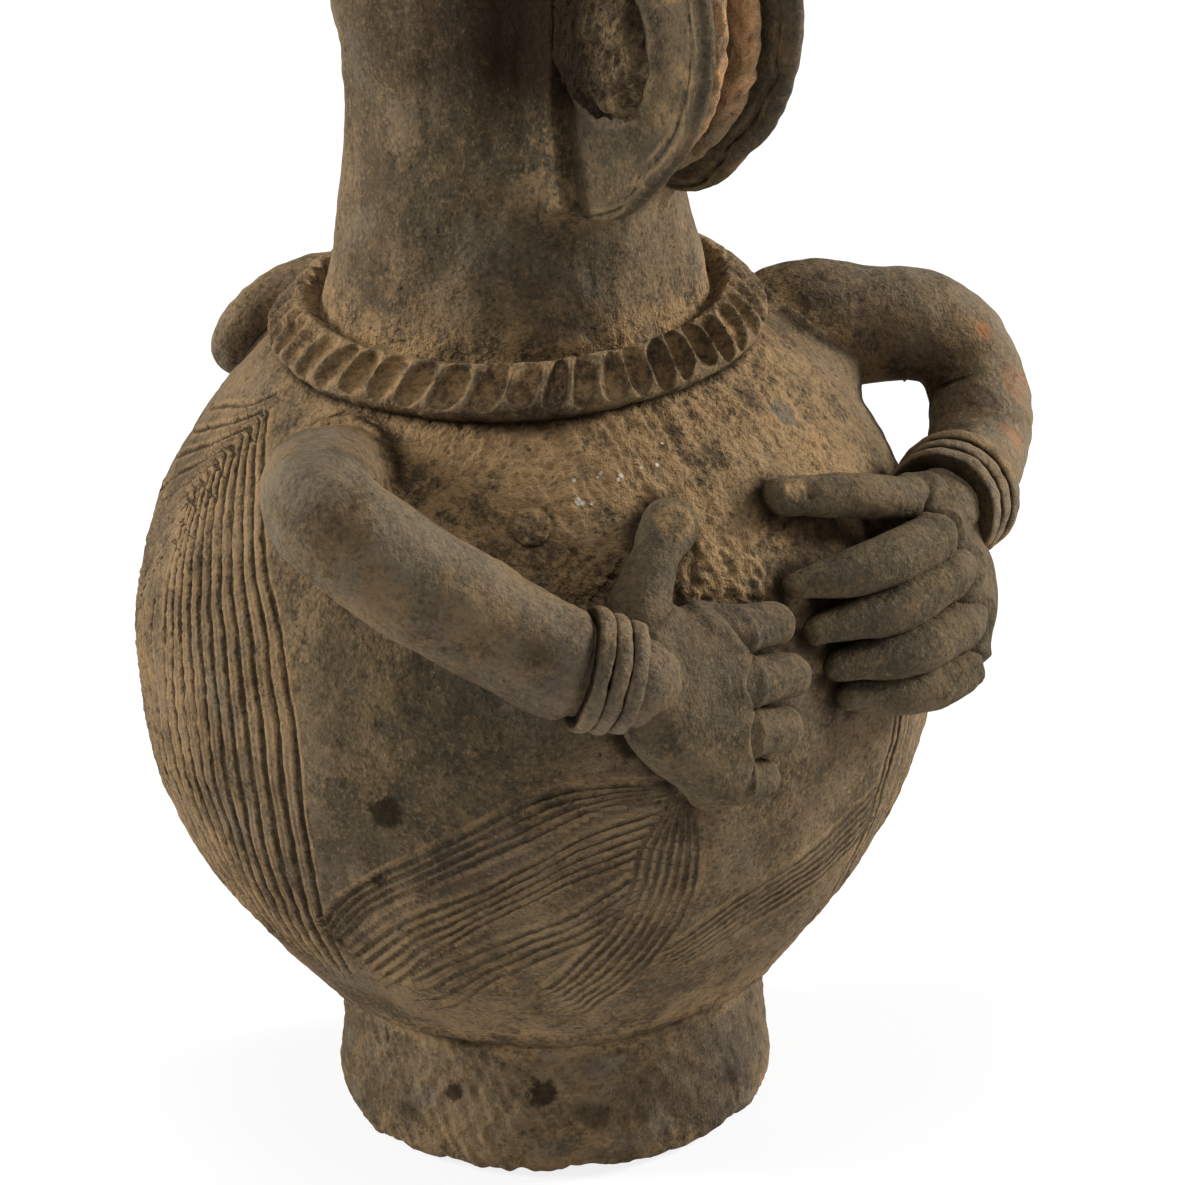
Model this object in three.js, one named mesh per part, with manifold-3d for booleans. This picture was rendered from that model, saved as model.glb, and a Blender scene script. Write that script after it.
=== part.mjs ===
// A hand-built terracotta figure jar: a round belly on a ring foot, a tall neck that becomes a head
// with an open mouth, a notched necklace, and two arms whose hands meet on the belly.
// Millimetres, +Z up. The origin is the centre of the ring foot on the ground. The figure looks to -Y.

import * as THREE from 'three';
import { mergeVertices } from 'three/addons/utils/BufferGeometryUtils.js';
import Module from 'manifold-3d';

const wasm = await Module();
wasm.setup();

// Driving dimensions

const CLEARANCE = 0.3;

const FOOT_RADIUS = 63;
const FOOT_HEIGHT = 42;
const FOOT_WALL = 11;

const BELLY_RADIUS = 114;
const BELLY_WALL = 9;
const BELLY_LOW_SWELL = 6;
const BELLY_LOW_SWELL_LATITUDE = -62;
const BELLY_LOW_SWELL_SPREAD = 15;

const STROKE_HALF_WIDTH = 1.7;
const STROKE_DEPTH = 1.3;

const NECK_BASE_RADIUS = 57;
const NECK_WAIST_RADIUS = 45;
const NECK_HEIGHT = 96;
const NECK_WAIST_HEIGHT = 84;
const NECK_WALL = 8.5;
const SHOULDER_RING_WIDTH = 7;

const HEAD_ABOVE_JAW = 37;
const HEAD_SWELL = 5;
const HEAD_SWELL_TURNS = 0.62;

const RIM_HEIGHT = 18;

const NECKLACE_WIDTH = 17;
const NECKLACE_THICKNESS = 11;
const NECKLACE_NOTCHES = 47;
const NECKLACE_START = -41.5;
const NECKLACE_NOTCH_DEPTH = 2.4;
const NECKLACE_OUT = 5.8;
const NECKLACE_UP = 4.6;

const ARM_RADIUS = 16;
const WRIST_RADIUS = 12;
const BRACELET_COUNT = 3;
const BRACELET_WIDTH = 5;
const BRACELET_THICKNESS = 3;
const BRACELET_PLAY = 1;
const BRACELET_STEP = 0.8;
const BRACELET_EDGE = 1.2;
const FINGER_RADIUS = 6.9;
const THUMB_RADIUS = 7.4;
const LIMB_BELLY_RADIUS = 114;

const JAW_PLATE_RADIUS = 61;
const JAW_PLATE_THICKNESS = 6.4;
const JAW_PLATE_EDGE = 2;
const JAW_PLATE_ROOT = 24;
const JAW_PLATE_SPACING = 32;
const JAW_PLATE_CENTRE_HEIGHT = 115;
const JAW_PLATE_SETBACK = 1;
const INNER_LIP_INSET = 6;
const INNER_LIP_THICKNESS = 6.4;
const INNER_LIP_EDGE = 2.4;
const INNER_LIP_SPACING = 12;

const CHEEK_LUMP_SIZE = [11, 21, 27];
const CHEEK_LUMP_FORWARD = 22;
const CHEEK_LUMP_HEIGHT = 108;

const NIPPLE_RADIUS = 5.5;
const NIPPLE_HEIGHT = 1.8;
const NIPPLE_EDGE = 1.2;
const NIPPLE_AZIMUTH = -39;
const NIPPLE_LATITUDE = 38;

const LUG_AZIMUTH = 178;
const LUG_LATITUDE = 32.4;
const LUG_STANDOFF = 11.6;
const LUG_SIZE = [29.6, 22.5, 11.7];
const LUG_DROOP = 60;

const FACE_RISE = 14;
const EYE_AZIMUTH = 33;
const EYE_SIZE = [10, 7, 5];
const EAR_SIZE = [10, 11, 22];
const EAR_DROP = 22;
const NOSE_SIZE = [6.5, 10.4, 12];

// How finely the round shapes are cut into flat faces

const BODY_SIDES = 36;
const BELLY_STEPS = 7;
const NECK_STEPS = 5;
const NECK_INNER_STEPS = 3;
const ROLL_SIDES = 8;
const ARM_SIDES = 12;
const NECKLACE_SIDES = 6;
const BRACELET_SIDES = 12;
const DOME_STEPS = 2;
const PLATE_SEGMENTS = 14;
const PLATE_EDGE_STEPS = 2;
const LUMP_SIDES = 12;
const LUMP_BANDS = 8;
const ARM_STEPS = 14;
const HAND_STEPS = 4;
const PALM_SIDES = 16;
const PALM_SHARES = [0.45, 0.75, 0.93, 1];
const STROKE_STEPS = 8;

// Clay colours

const CLAY = { color: 0x6b5a44, roughness: 0.92, metalness: 0 };
const DUSTY_CLAY = { color: 0x8a7050, roughness: 0.95, metalness: 0 };
const GREY_CLAY = { color: 0x645a4b, roughness: 0.88, metalness: 0 };
const RED_CLAY = { color: 0x7d5439, roughness: 0.93, metalness: 0 };

const degrees = THREE.MathUtils.degToRad;

// Heights that follow from the sizes above

const bellyReach = (latitude) => {
  const away = (latitude - BELLY_LOW_SWELL_LATITUDE) / BELLY_LOW_SWELL_SPREAD;
  return BELLY_RADIUS + BELLY_LOW_SWELL * Math.exp(-away * away);
};
const bellyAtFoot = bellyReach(BELLY_LOW_SWELL_LATITUDE);
const BELLY_CENTRE = FOOT_HEIGHT + Math.sqrt(bellyAtFoot ** 2 - FOOT_RADIUS ** 2);
const SHOULDER_RADIUS = NECK_BASE_RADIUS + SHOULDER_RING_WIDTH;
const SHOULDER_LATITUDE = THREE.MathUtils.radToDeg(Math.acos(SHOULDER_RADIUS / BELLY_RADIUS));
const SHOULDER_HEIGHT = BELLY_CENTRE + Math.sqrt(BELLY_RADIUS ** 2 - SHOULDER_RADIUS ** 2);
const NECK_TOP = SHOULDER_HEIGHT + NECK_HEIGHT;
const JAW_HEIGHT = SHOULDER_HEIGHT + JAW_PLATE_CENTRE_HEIGHT;
const HEAD_TOP = JAW_HEIGHT + JAW_PLATE_RADIUS + HEAD_ABOVE_JAW;
const MOUTH_HEIGHT = HEAD_TOP + RIM_HEIGHT;

// Arms and hands are drawn for one belly, and their standoffs and widths follow the real one

const LIMB_SCALE = BELLY_RADIUS / LIMB_BELLY_RADIUS;

function limb(controls) {
  const scaled = (size) => size * LIMB_SCALE;
  return controls.map(([azimuth, latitude, off, half]) => [azimuth, latitude, scaled(off), scaled(half)]);
}

// Outer radius of the neck and head at a height

function neckRadius(height) {
  const below = SHOULDER_HEIGHT + NECK_WAIST_HEIGHT - height;
  if (below > 0) {
    return NECK_WAIST_RADIUS + (NECK_BASE_RADIUS - NECK_WAIST_RADIUS) * (below / NECK_WAIST_HEIGHT) ** 2;
  }
  const share = Math.min(1, -below / (HEAD_TOP - SHOULDER_HEIGHT - NECK_WAIST_HEIGHT));
  return NECK_WAIST_RADIUS + HEAD_SWELL * Math.sin(share * Math.PI * HEAD_SWELL_TURNS);
}

// A point on the belly at an azimuth from the front and a latitude, raised off the surface

function onBelly(azimuth, latitude, standoff) {
  const reach = bellyReach(latitude) + standoff;
  const flat = reach * Math.cos(degrees(latitude));
  return new THREE.Vector3(
    flat * Math.sin(degrees(azimuth)),
    -flat * Math.cos(degrees(azimuth)),
    BELLY_CENTRE + reach * Math.sin(degrees(latitude)),
  );
}

// A point beside the neck or head

function onHead(azimuth, height, standoff) {
  const radius = neckRadius(height) + standoff;
  return new THREE.Vector3(radius * Math.sin(degrees(azimuth)), -radius * Math.cos(degrees(azimuth)), height);
}

// Mesh helpers: closed geometry from index lists, and to and from cut solids

function closedGeometry(positions, index) {
  const geometry = new THREE.BufferGeometry();
  geometry.setAttribute('position', new THREE.Float32BufferAttribute(positions, 3));
  geometry.setIndex(index);
  return geometry;
}

function cleaned(geometry) {
  geometry.deleteAttribute('normal');
  geometry.deleteAttribute('uv');
  const merged = mergeVertices(geometry, 1e-3);
  const old = merged.index.array;
  const index = [];
  for (let i = 0; i < old.length; i += 3) {
    const [a, b, c] = [old[i], old[i + 1], old[i + 2]];
    if (a !== b && b !== c && c !== a) index.push(a, b, c);
  }
  merged.setIndex(index);
  return outward(merged);
}

function outward(geometry) {
  const p = geometry.attributes.position;
  const index = Array.from(geometry.index.array);
  const [a, b, c] = [new THREE.Vector3(), new THREE.Vector3(), new THREE.Vector3()];
  let volume = 0;
  for (let i = 0; i < index.length; i += 3) {
    a.fromBufferAttribute(p, index[i]);
    b.fromBufferAttribute(p, index[i + 1]);
    c.fromBufferAttribute(p, index[i + 2]);
    volume += a.dot(b.cross(c));
  }
  if (volume < 0) {
    for (let i = 0; i < index.length; i += 3) [index[i], index[i + 1]] = [index[i + 1], index[i]];
    geometry.setIndex(index);
  }
  return geometry;
}

function solid(geometry) {
  return new wasm.Manifold(new wasm.Mesh({
    numProp: 3,
    vertProperties: new Float32Array(geometry.attributes.position.array),
    triVerts: new Uint32Array(geometry.index.array),
  }));
}

function geometryOf(manifold) {
  const mesh = manifold.getMesh();
  return closedGeometry(Array.from(mesh.vertProperties), Array.from(mesh.triVerts));
}

function cutBy(geometry, ...tools) {
  let result = solid(geometry);
  for (const tool of tools) result = result.subtract(tool);
  return geometryOf(result);
}

// Solids of revolution about +Z from a profile of [radius, height] points

function revolve(profile) {
  const points = profile.map(([radius, height]) => new THREE.Vector2(radius, height));
  const geometry = new THREE.LatheGeometry(points, BODY_SIDES);
  geometry.rotateX(Math.PI / 2);
  return cleaned(geometry);
}

function closedProfile(profile) {
  return [...profile, profile[0]];
}

// Belly outline from one latitude to another, moved in or out

function bellyOutline(from, to, offset, steps = BELLY_STEPS) {
  return Array.from({ length: steps + 1 }, (_, i) => {
    const latitude = from + ((to - from) * i) / steps;
    const reach = bellyReach(latitude) + offset;
    return [reach * Math.cos(degrees(latitude)), BELLY_CENTRE + reach * Math.sin(degrees(latitude))];
  });
}

function neckOutline(from, to, offset, steps) {
  return Array.from({ length: steps + 1 }, (_, i) => {
    const height = from + ((to - from) * i) / steps;
    return [neckRadius(height) + offset, height];
  });
}

// The whole closed outline of the pot, grown by a clearance, for cutting what is luted on to it

function bellyEnvelope(grow) {
  const outline = [...bellyOutline(-90, 0, grow), ...bellyOutline(0, SHOULDER_LATITUDE, grow)];
  outline[0][0] = 0;
  return solid(revolve([...outline, [0, SHOULDER_HEIGHT + grow]]));
}

function neckEnvelope(grow) {
  const sunk = SHOULDER_HEIGHT - BELLY_WALL;
  const outline = [
    ...neckOutline(SHOULDER_HEIGHT, NECK_TOP, grow, NECK_STEPS),
    ...neckOutline(NECK_TOP, HEAD_TOP, grow, NECK_STEPS),
  ];
  return solid(revolve([[0, sunk], [outline[0][0], sunk], ...outline, [0, HEAD_TOP]]));
}

const BELLY_CUT = bellyEnvelope(CLEARANCE);
const NECK_CUT = neckEnvelope(CLEARANCE);

// A lofted roll of clay: an elliptic section carried along stations, with domed ends.
// A station is { at, across, lift }: the centre and the two half-axes of the section.

function heading(from, to) {
  return to.at.clone().sub(from.at).normalize();
}

function domeEnd(station, direction) {
  const depth = Math.min(station.across.length(), station.lift.length());
  const rings = Array.from({ length: DOME_STEPS }, (_, i) => {
    const angle = ((i + 1) / (DOME_STEPS + 1)) * (Math.PI / 2);
    return {
      at: station.at.clone().addScaledVector(direction, depth * Math.sin(angle)),
      across: station.across.clone().multiplyScalar(Math.cos(angle)),
      lift: station.lift.clone().multiplyScalar(Math.cos(angle)),
    };
  });
  return { rings, tip: station.at.clone().addScaledVector(direction, depth) };
}

function loft(stations, sides) {
  const start = domeEnd(stations[0], heading(stations[1], stations[0]));
  const end = domeEnd(stations.at(-1), heading(stations.at(-2), stations.at(-1)));
  const rings = [...start.rings.reverse(), ...stations, ...end.rings];
  const positions = [];
  for (const ring of rings) {
    for (let side = 0; side < sides; side++) {
      const angle = (2 * Math.PI * side) / sides;
      const point = ring.at.clone().addScaledVector(ring.across, Math.cos(angle));
      positions.push(...point.addScaledVector(ring.lift, Math.sin(angle)).toArray());
    }
  }
  const tips = rings.length * sides;
  positions.push(...start.tip.toArray(), ...end.tip.toArray());
  const index = [];
  for (let side = 0; side < sides; side++) {
    const next = (side + 1) % sides;
    const top = tips - sides;
    index.push(tips, next, side, tips + 1, top + side, top + next);
    for (let low = 0; low < top; low += sides) {
      index.push(low + side, low + next, low + next + sides);
      index.push(low + side, low + next + sides, low + side + sides);
    }
  }
  return outward(closedGeometry(positions, index));
}

// A smooth line over the belly, and round stations along it. Each control is
// [azimuth, latitude, standoff, half width].

function bellyCurve(controls) {
  const points = controls.map(([azimuth, latitude, off]) => onBelly(azimuth, latitude, off ?? 0));
  return new THREE.CatmullRomCurve3(points);
}

function bellyPath(controls, steps) {
  const curve = bellyCurve(controls);
  const centre = new THREE.Vector3(0, 0, BELLY_CENTRE);
  const halfWidth = (share) => {
    const place = share * (controls.length - 1);
    const low = Math.min(Math.floor(place), controls.length - 2);
    return THREE.MathUtils.lerp(controls[low][3], controls[low + 1][3], place - low);
  };
  return Array.from({ length: steps + 1 }, (_, i) => {
    const share = i / steps;
    const at = curve.getPoint(share);
    const along = curve.getTangent(share);
    const out = at.clone().sub(centre);
    const across = new THREE.Vector3().crossVectors(along, out).normalize();
    const lift = new THREE.Vector3().crossVectors(across, along).normalize();
    return {
      at,
      across: across.multiplyScalar(halfWidth(share)),
      lift: lift.multiplyScalar(halfWidth(share)),
    };
  });
}

function grown(stations, amount) {
  return stations.map((s) => ({
    at: s.at,
    across: s.across.clone().setLength(s.across.length() + amount),
    lift: s.lift.clone().setLength(s.lift.length() + amount),
  }));
}

// Main scratched strokes of the decoration, each in azimuth and latitude. A stroke is a V-shaped groove:
// two edges above the flat faces of the wall and one edge below them, which rises out at both ends.

const STROKES = [
  // Upright strokes behind the right arm, and the slanted ones that meet them
  [[-106, 47], [-93, 36.5], [-81, 20.9], [-76, 4.3], [-76, -13.5], [-79, -38]],
  [[-112, 25], [-109.6, 14], [-106.7, 0], [-104.5, -14], [-103, -34]],
  [[-114, 26], [-113, 16], [-111, 6], [-108, -8], [-106, -34]],
  [[-132, 28], [-131, 17.5], [-129, 7], [-126.5, -8], [-124, -34]],
  [[-150, 30], [-149, 20], [-147, 8], [-145, -8], [-142, -34]],
  [[-109, 50], [-116, 46], [-124, 43], [-134, 39]],
  [[-112, 35], [-117.5, 30], [-124, 24.8], [-132, 17.6]],
  // Leaf of long strokes under the right hand, and the bent ones at its right edge
  [[-21, -0.2], [-33, 0.9], [-42, -1], [-57, -9.8], [-78, -27]],
  [[-27, -11], [-35, -13.6], [-50, -22], [-60, -30], [-68, -38]],
  [[-28, -21.1], [-35, -26.2], [-49, -34], [-60, -44]],
  [[-21, -1], [-26, -10], [-29, -21], [-33, -28], [-40, -37]],
  [[-19, -1.5], [-17.5, -14], [-21, -28], [-26, -37], [-33, -45]],
  // Rising strokes, and the upright ones under and beyond the left hand
  [[-20, -30.4], [-11, -25.3], [2, -20.5], [18, -15]],
  [[22, 3], [20.5, -12], [19, -30], [22, -42]],
  [[45, 2], [45, -10], [43.5, -23], [44, -40]],
  [[62, 4], [62, -10], [60, -24], [58, -40]],
  [[86.8, 22], [88, 5], [87.4, -14], [85, -38]],
  [[103.7, 24], [104.7, 6], [102.8, -14], [100, -38]],
  [[120.5, 26], [121.3, 7], [118.2, -14], [115, -38]],
  [[137.4, 28], [137.9, 7.6], [133.6, -14], [130, -38]],
  [[100, 46], [112, 40], [128, 32]],
];

const STROKE_SKIN = BELLY_RADIUS * (1 - Math.cos(Math.PI / BODY_SIDES));

function groove(path) {
  const stations = bellyCurve(path).getSpacedPoints(STROKE_STEPS);
  const centre = new THREE.Vector3(0, 0, BELLY_CENTRE);
  const positions = stations.flatMap((at, i) => {
    const out = at.clone().sub(centre).normalize();
    const along = stations[Math.min(i + 1, STROKE_STEPS)].clone().sub(stations[Math.max(i - 1, 0)]);
    const side = along.cross(out).setLength(STROKE_HALF_WIDTH + STROKE_SKIN);
    const inner = i % STROKE_STEPS === 0 ? 0 : STROKE_DEPTH + STROKE_SKIN;
    const top = at.clone().addScaledVector(out, STROKE_DEPTH);
    const low = at.clone().addScaledVector(out, -inner);
    return [top.clone().add(side), top.clone().sub(side), low].flatMap((corner) => corner.toArray());
  });
  const index = [0, 1, 2];
  const last = 3 * STROKE_STEPS;
  index.push(last, last + 2, last + 1);
  for (let start = 0; start < last; start += 3) {
    for (let side = 0; side < 3; side++) {
      const [a, b] = [start + side, start + ((side + 1) % 3)];
      index.push(a, a + 3, b, b, a + 3, b + 3);
    }
  }
  return solid(outward(closedGeometry(positions, index)));
}

const GROOVES = STROKES.map(groove);

const figure = new THREE.Group();

function add(name, geometry, finish) {
  geometry.computeVertexNormals();
  const mesh = new THREE.Mesh(geometry, new THREE.MeshStandardMaterial(finish));
  mesh.name = name;
  figure.add(mesh);
  return geometry;
}

// Ring foot, open below, cut to the underside of the belly. Each pair is a step out from the wall's
// radius and a share of the foot's height, up the outside and down the inside.

const FOOT_OUTSIDE = [[-4, 0], [-0.5, 0.14], [0, 0.28], [-1.5, 0.65], [-1, 0.85], [1.5, 1], [5, 1.08]];
const FOOT_INSIDE = [[0, 1.08], [-3, 0.6], [0, 0]];

function footRing() {
  const at = (radius) => ([out, share]) => [radius + out, share * FOOT_HEIGHT];
  const outer = FOOT_OUTSIDE.map(at(FOOT_RADIUS));
  const inner = FOOT_INSIDE.map(at(FOOT_RADIUS - FOOT_WALL));
  return cutBy(revolve(closedProfile([...outer, ...inner])), BELLY_CUT);
}

// Lower bowl, from the pole under the belly to the coil joint at its widest line

function lowerBowl() {
  const outer = bellyOutline(-90, 0, 0);
  const inner = bellyOutline(0, -90, -BELLY_WALL);
  outer[0][0] = 0;
  inner[inner.length - 1][0] = 0;
  return cutBy(revolve([...outer, ...inner]), ...GROOVES);
}

// Shoulder dome, from the widest line to the flat ring that carries the neck

function shoulderDome() {
  const outer = bellyOutline(0, SHOULDER_LATITUDE, 0);
  const innerLatitude = THREE.MathUtils.radToDeg(
    Math.asin((SHOULDER_HEIGHT - BELLY_CENTRE) / (BELLY_RADIUS - BELLY_WALL)),
  );
  const inner = bellyOutline(innerLatitude, 0, -BELLY_WALL);
  const lifted = [...outer, ...inner].map(([radius, height]) => [
    radius,
    Math.max(height, BELLY_CENTRE + CLEARANCE),
  ]);
  return cutBy(revolve(closedProfile(lifted)), ...GROOVES);
}

function neckTube() {
  const low = SHOULDER_HEIGHT + CLEARANCE;
  return revolve(closedProfile([
    ...neckOutline(low, NECK_TOP, 0, NECK_STEPS),
    ...neckOutline(NECK_TOP, low, -NECK_WALL, NECK_INNER_STEPS),
  ]));
}

function headTube() {
  const low = NECK_TOP + CLEARANCE;
  return revolve(closedProfile([
    ...neckOutline(low, HEAD_TOP, 0, NECK_STEPS),
    ...neckOutline(HEAD_TOP, low, -NECK_WALL, NECK_INNER_STEPS),
  ]));
}

// Rolled rim round the open mouth. Each pair is a step out from the head's wall and a share of the height.

const RIM_OUTLINE = [
  [-NECK_WALL, 0], [0, 0], [4.5, 0.45], [5.5, 0.7], [4, 0.88], [0, 1], [-2.5, 1], [-5.5, 0.85], [-7.5, 0.4],
];

function mouthRim() {
  const low = HEAD_TOP + CLEARANCE;
  const wall = neckRadius(HEAD_TOP);
  return revolve(closedProfile(
    RIM_OUTLINE.map(([out, share]) => [wall + out, low + share * (MOUTH_HEIGHT - low)]),
  ));
}

// Necklace: a flattened coil in the corner of neck and shoulder, pinched into notches all round

function necklaceCoil() {
  const sides = NECKLACE_SIDES;
  const steps = NECKLACE_NOTCHES * 2;
  const centreRadius = NECK_BASE_RADIUS + NECKLACE_OUT;
  const centreHeight = SHOULDER_HEIGHT + NECKLACE_UP;
  const positions = [];
  for (let step = 0; step < steps; step++) {
    const turn = (2 * Math.PI * step) / steps + degrees(NECKLACE_START);
    const notch = step % 2 === 0 ? NECKLACE_NOTCH_DEPTH : 0;
    for (let side = 0; side < sides; side++) {
      const angle = (2 * Math.PI * side) / sides;
      const wide = (NECKLACE_WIDTH / 2) * Math.cos(angle);
      const thick = (NECKLACE_THICKNESS / 2 - Math.max(0, Math.sin(angle)) * notch) * Math.sin(angle);
      const radius = centreRadius + (wide + thick) * Math.SQRT1_2;
      const height = centreHeight + (thick - wide) * Math.SQRT1_2;
      positions.push(radius * Math.sin(turn), -radius * Math.cos(turn), height);
    }
  }
  const index = [];
  for (let step = 0; step < steps; step++) {
    const ahead = ((step + 1) % steps) * sides;
    for (let side = 0; side < sides; side++) {
      const next = (side + 1) % sides;
      const [a, b] = [step * sides + side, step * sides + next];
      index.push(a, b, ahead + next, a, ahead + next, ahead + side);
    }
  }
  return cutBy(outward(closedGeometry(positions, index)), BELLY_CUT, NECK_CUT);
}

// Arms: the controls of each arm's middle line, from inside the shoulder, out round the elbow and back
// to the wrist

const R = ARM_RADIUS;
const W = WRIST_RADIUS;

const LEFT_ARM = limb([
  [77, 43, -12, R + 3],
  [73, 40.5, 4, R + 2],
  [69.7, 35.2, 15.5, R + 1.2],
  [67.4, 31.2, 27, R + 0.4],
  [65.6, 26.8, 32.3, R - 0.6],
  [62.6, 22.2, 30.8, R - 1],
  [56.5, 19.2, 24, R - 1],
  [49, 18.8, 19.4, R - 2.2],
  [42.5, 19.4, 16.8, W - 1.6],
  [34, 20.7, 14.6, W - 1.6],
]);

const RIGHT_ARM = limb([
  [-80, 43, -12, R + 2],
  [-75.5, 41, 5, R + 1],
  [-70, 37.8, 26, R + 0.5],
  [-64.5, 34.2, 39.8, R + 0.5],
  [-56, 29.8, 28, R + 0.5],
  [-48, 26, 20, R + 0.5],
  [-39.5, 21.3, 16.4, R],
  [-34.8, 19, 15.3, W + 0.5],
  [-27, 16.6, 14, W + 0.5],
]);

function armSpace(arm) {
  return solid(loft(grown(bellyPath(arm, ARM_STEPS), CLEARANCE), ARM_SIDES));
}

// Bracelets: clay rings threaded on the wrist, the widest nearest the elbow

function wristAxis(arm) {
  const [before, end] = arm.slice(-2).map(([azimuth, latitude, off]) => onBelly(azimuth, latitude, off));
  return { end, along: end.clone().sub(before).normalize() };
}

function onWrist(geometry, arm, back) {
  const { end, along } = wristAxis(arm);
  geometry.applyQuaternion(new THREE.Quaternion().setFromUnitVectors(new THREE.Vector3(0, 1, 0), along));
  const at = end.addScaledVector(along, -back);
  geometry.translate(at.x, at.y, at.z);
  return cleaned(geometry);
}

function bracelet(arm, order) {
  const half = BRACELET_WIDTH / 2;
  const hole = arm[arm.length - 1][3] + BRACELET_PLAY;
  const radius = hole + BRACELET_THICKNESS + (BRACELET_COUNT - 1 - order) * BRACELET_STEP;
  const profile = closedProfile([
    [hole, -half],
    [radius - BRACELET_EDGE, -half],
    [radius, 0],
    [radius - BRACELET_EDGE, half],
    [hole, half],
  ]).map(([r, z]) => new THREE.Vector2(r, z));
  const back = (BRACELET_COUNT - order - 0.5) * (BRACELET_WIDTH + CLEARANCE);
  const ring = onWrist(new THREE.LatheGeometry(profile, BRACELET_SIDES), arm, back);
  return cutBy(ring, BELLY_CUT);
}

// The space that the wrist and its bracelets take, for cutting the palm that meets them

function wristSleeve(arm) {
  const length = BRACELET_COUNT * (BRACELET_WIDTH + CLEARANCE) + CLEARANCE;
  const radius = arm[arm.length - 1][3] + BRACELET_PLAY + BRACELET_THICKNESS
    + (BRACELET_COUNT - 1) * BRACELET_STEP + CLEARANCE;
  const sleeve = new THREE.CylinderGeometry(radius, radius, length, BRACELET_SIDES);
  return solid(onWrist(sleeve, arm, length / 2));
}

// Hands. A palm is a pad of clay pressed on to the belly, with its outline in [azimuth, latitude] and
// its height at the wrist and at the knuckles. Fingers and thumb are thin rolls that start inside it.

const F = FINGER_RADIUS;
const T = THUMB_RADIUS;

const HANDS = {
  left: {
    palm: {
      outline: [[36, 20], [35, 25], [30, 27.5], [26, 24.5], [24.5, 12], [26, 2], [30, -1], [35, 3], [37, 11]],
      wristHeight: 26,
      knuckleHeight: 21,
    },
    thumb: [[30, 24, 13, T - 1], [22, 27.2, 13, T - 1], [14, 31, 8.5, T - 1], [6, 34, 4.4, T - 1.6]],
    fingers: {
      index: [[29, 19.5, 15, F], [24, 19.8, 17.2, F], [12.5, 20.9, 12, F], [3.4, 22.3, 5, F - 0.6]],
      middle: [[30, 14.8, 16, F], [26, 14.8, 18, F], [15.6, 14.7, 13, F], [5.2, 15.3, 5.2, F - 0.6]],
      ring: [[30, 8.6, 16, F], [26, 8.2, 18, F], [16.8, 8.4, 13, F], [7.8, 9.4, 5.2, F - 0.6]],
      little: [[29, 2.4, 14, F], [25, 2, 16, F], [18, 2.6, 11.5, F], [9.6, 4.4, 4.8, F - 0.8]],
    },
  },
  right: {
    palm: {
      outline: [
        [-29, 16.4], [-26.5, 22.5], [-22, 24.2], [-16, 24], [-10.5, 22], [-9.5, 15.5],
        [-10.5, 9], [-11.5, 2], [-13.5, -3], [-18.3, -2.5], [-25, 3.5], [-28.5, 9.5],
      ],
      wristHeight: 27,
      knuckleHeight: 12.5,
    },
    thumb: [
      [-26, 21.5, 9, T + 1], [-24.6, 25.5, 9, T + 0.4], [-20.2, 31.2, 7.2, T], [-16.4, 34.9, 5.4, T + 1],
    ],
    fingers: {
      index: [[-15, 20.4, 7.4, F], [-10.5, 19.8, 7.8, F], [-4, 18.9, 5.8, F - 0.6]],
      middle: [[-15, 13.4, 7.4, F], [-10.5, 12.7, 7.8, F], [-3.3, 11.6, 5.8, F - 0.6]],
      ring: [[-16, 6.6, 7.4, F], [-11.5, 6, 7.8, F], [-5.6, 4.7, 5.8, F - 0.6]],
      little: [[-16.5, 0.4, 5, F], [-13.5, -0.2, 6.6, F], [-9.6, -1.3, 5.4, F - 0.8]],
    },
  },
};

const PALM_ROUNDING = 4;
const PALM_EDGE_SHARE = 0.9;

function pad({ outline, wristHeight, knuckleHeight }, grow) {
  const curve = new THREE.CatmullRomCurve3(outline.map(([az, lat]) => new THREE.Vector3(az, lat, 0)), true);
  const edge = curve.getPoints(PALM_SIDES).slice(0, PALM_SIDES);
  const centre = edge.reduce((sum, point) => sum.add(point), new THREE.Vector3()).divideScalar(PALM_SIDES);
  const wrist = edge[0].x;
  const nearest = (best, point) => (Math.abs(point.x) < Math.abs(best) ? point.x : best);
  const knuckle = edge.reduce(nearest, wrist);
  const spread = 1 + grow / (BELLY_RADIUS * degrees(centre.distanceTo(edge[0])));
  const place = (share, point, lifted) => {
    const spot = centre.clone().lerp(point, share * spread);
    const along = THREE.MathUtils.clamp((spot.x - wrist) / (knuckle - wrist), 0, 1);
    const middle = THREE.MathUtils.lerp(wristHeight, knuckleHeight, along) * LIMB_SCALE;
    const height = middle * Math.sqrt(1 - PALM_EDGE_SHARE * share ** PALM_ROUNDING);
    return onBelly(spot.x, spot.y, lifted ? height + grow : -BELLY_WALL / 2);
  };
  const rings = [...PALM_SHARES.map((share) => [share, true]), [1, false]];
  const ring = ([share, lifted]) => edge.flatMap((point) => place(share, point, lifted).toArray());
  const positions = rings.flatMap(ring);
  positions.push(...place(0, edge[0], true).toArray(), ...place(0, edge[0], false).toArray());
  const tip = rings.length * PALM_SIDES;
  const index = [];
  for (let side = 0; side < PALM_SIDES; side++) {
    const next = (side + 1) % PALM_SIDES;
    index.push(tip, side, next);
    const low = tip - PALM_SIDES;
    for (let start = 0; start < low; start += PALM_SIDES) {
      const [a, b] = [start + side, start + next];
      index.push(a, b + PALM_SIDES, b, a, a + PALM_SIDES, b + PALM_SIDES);
    }
    index.push(tip + 1, low + next, low + side);
  }
  return outward(closedGeometry(positions, index));
}

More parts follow.
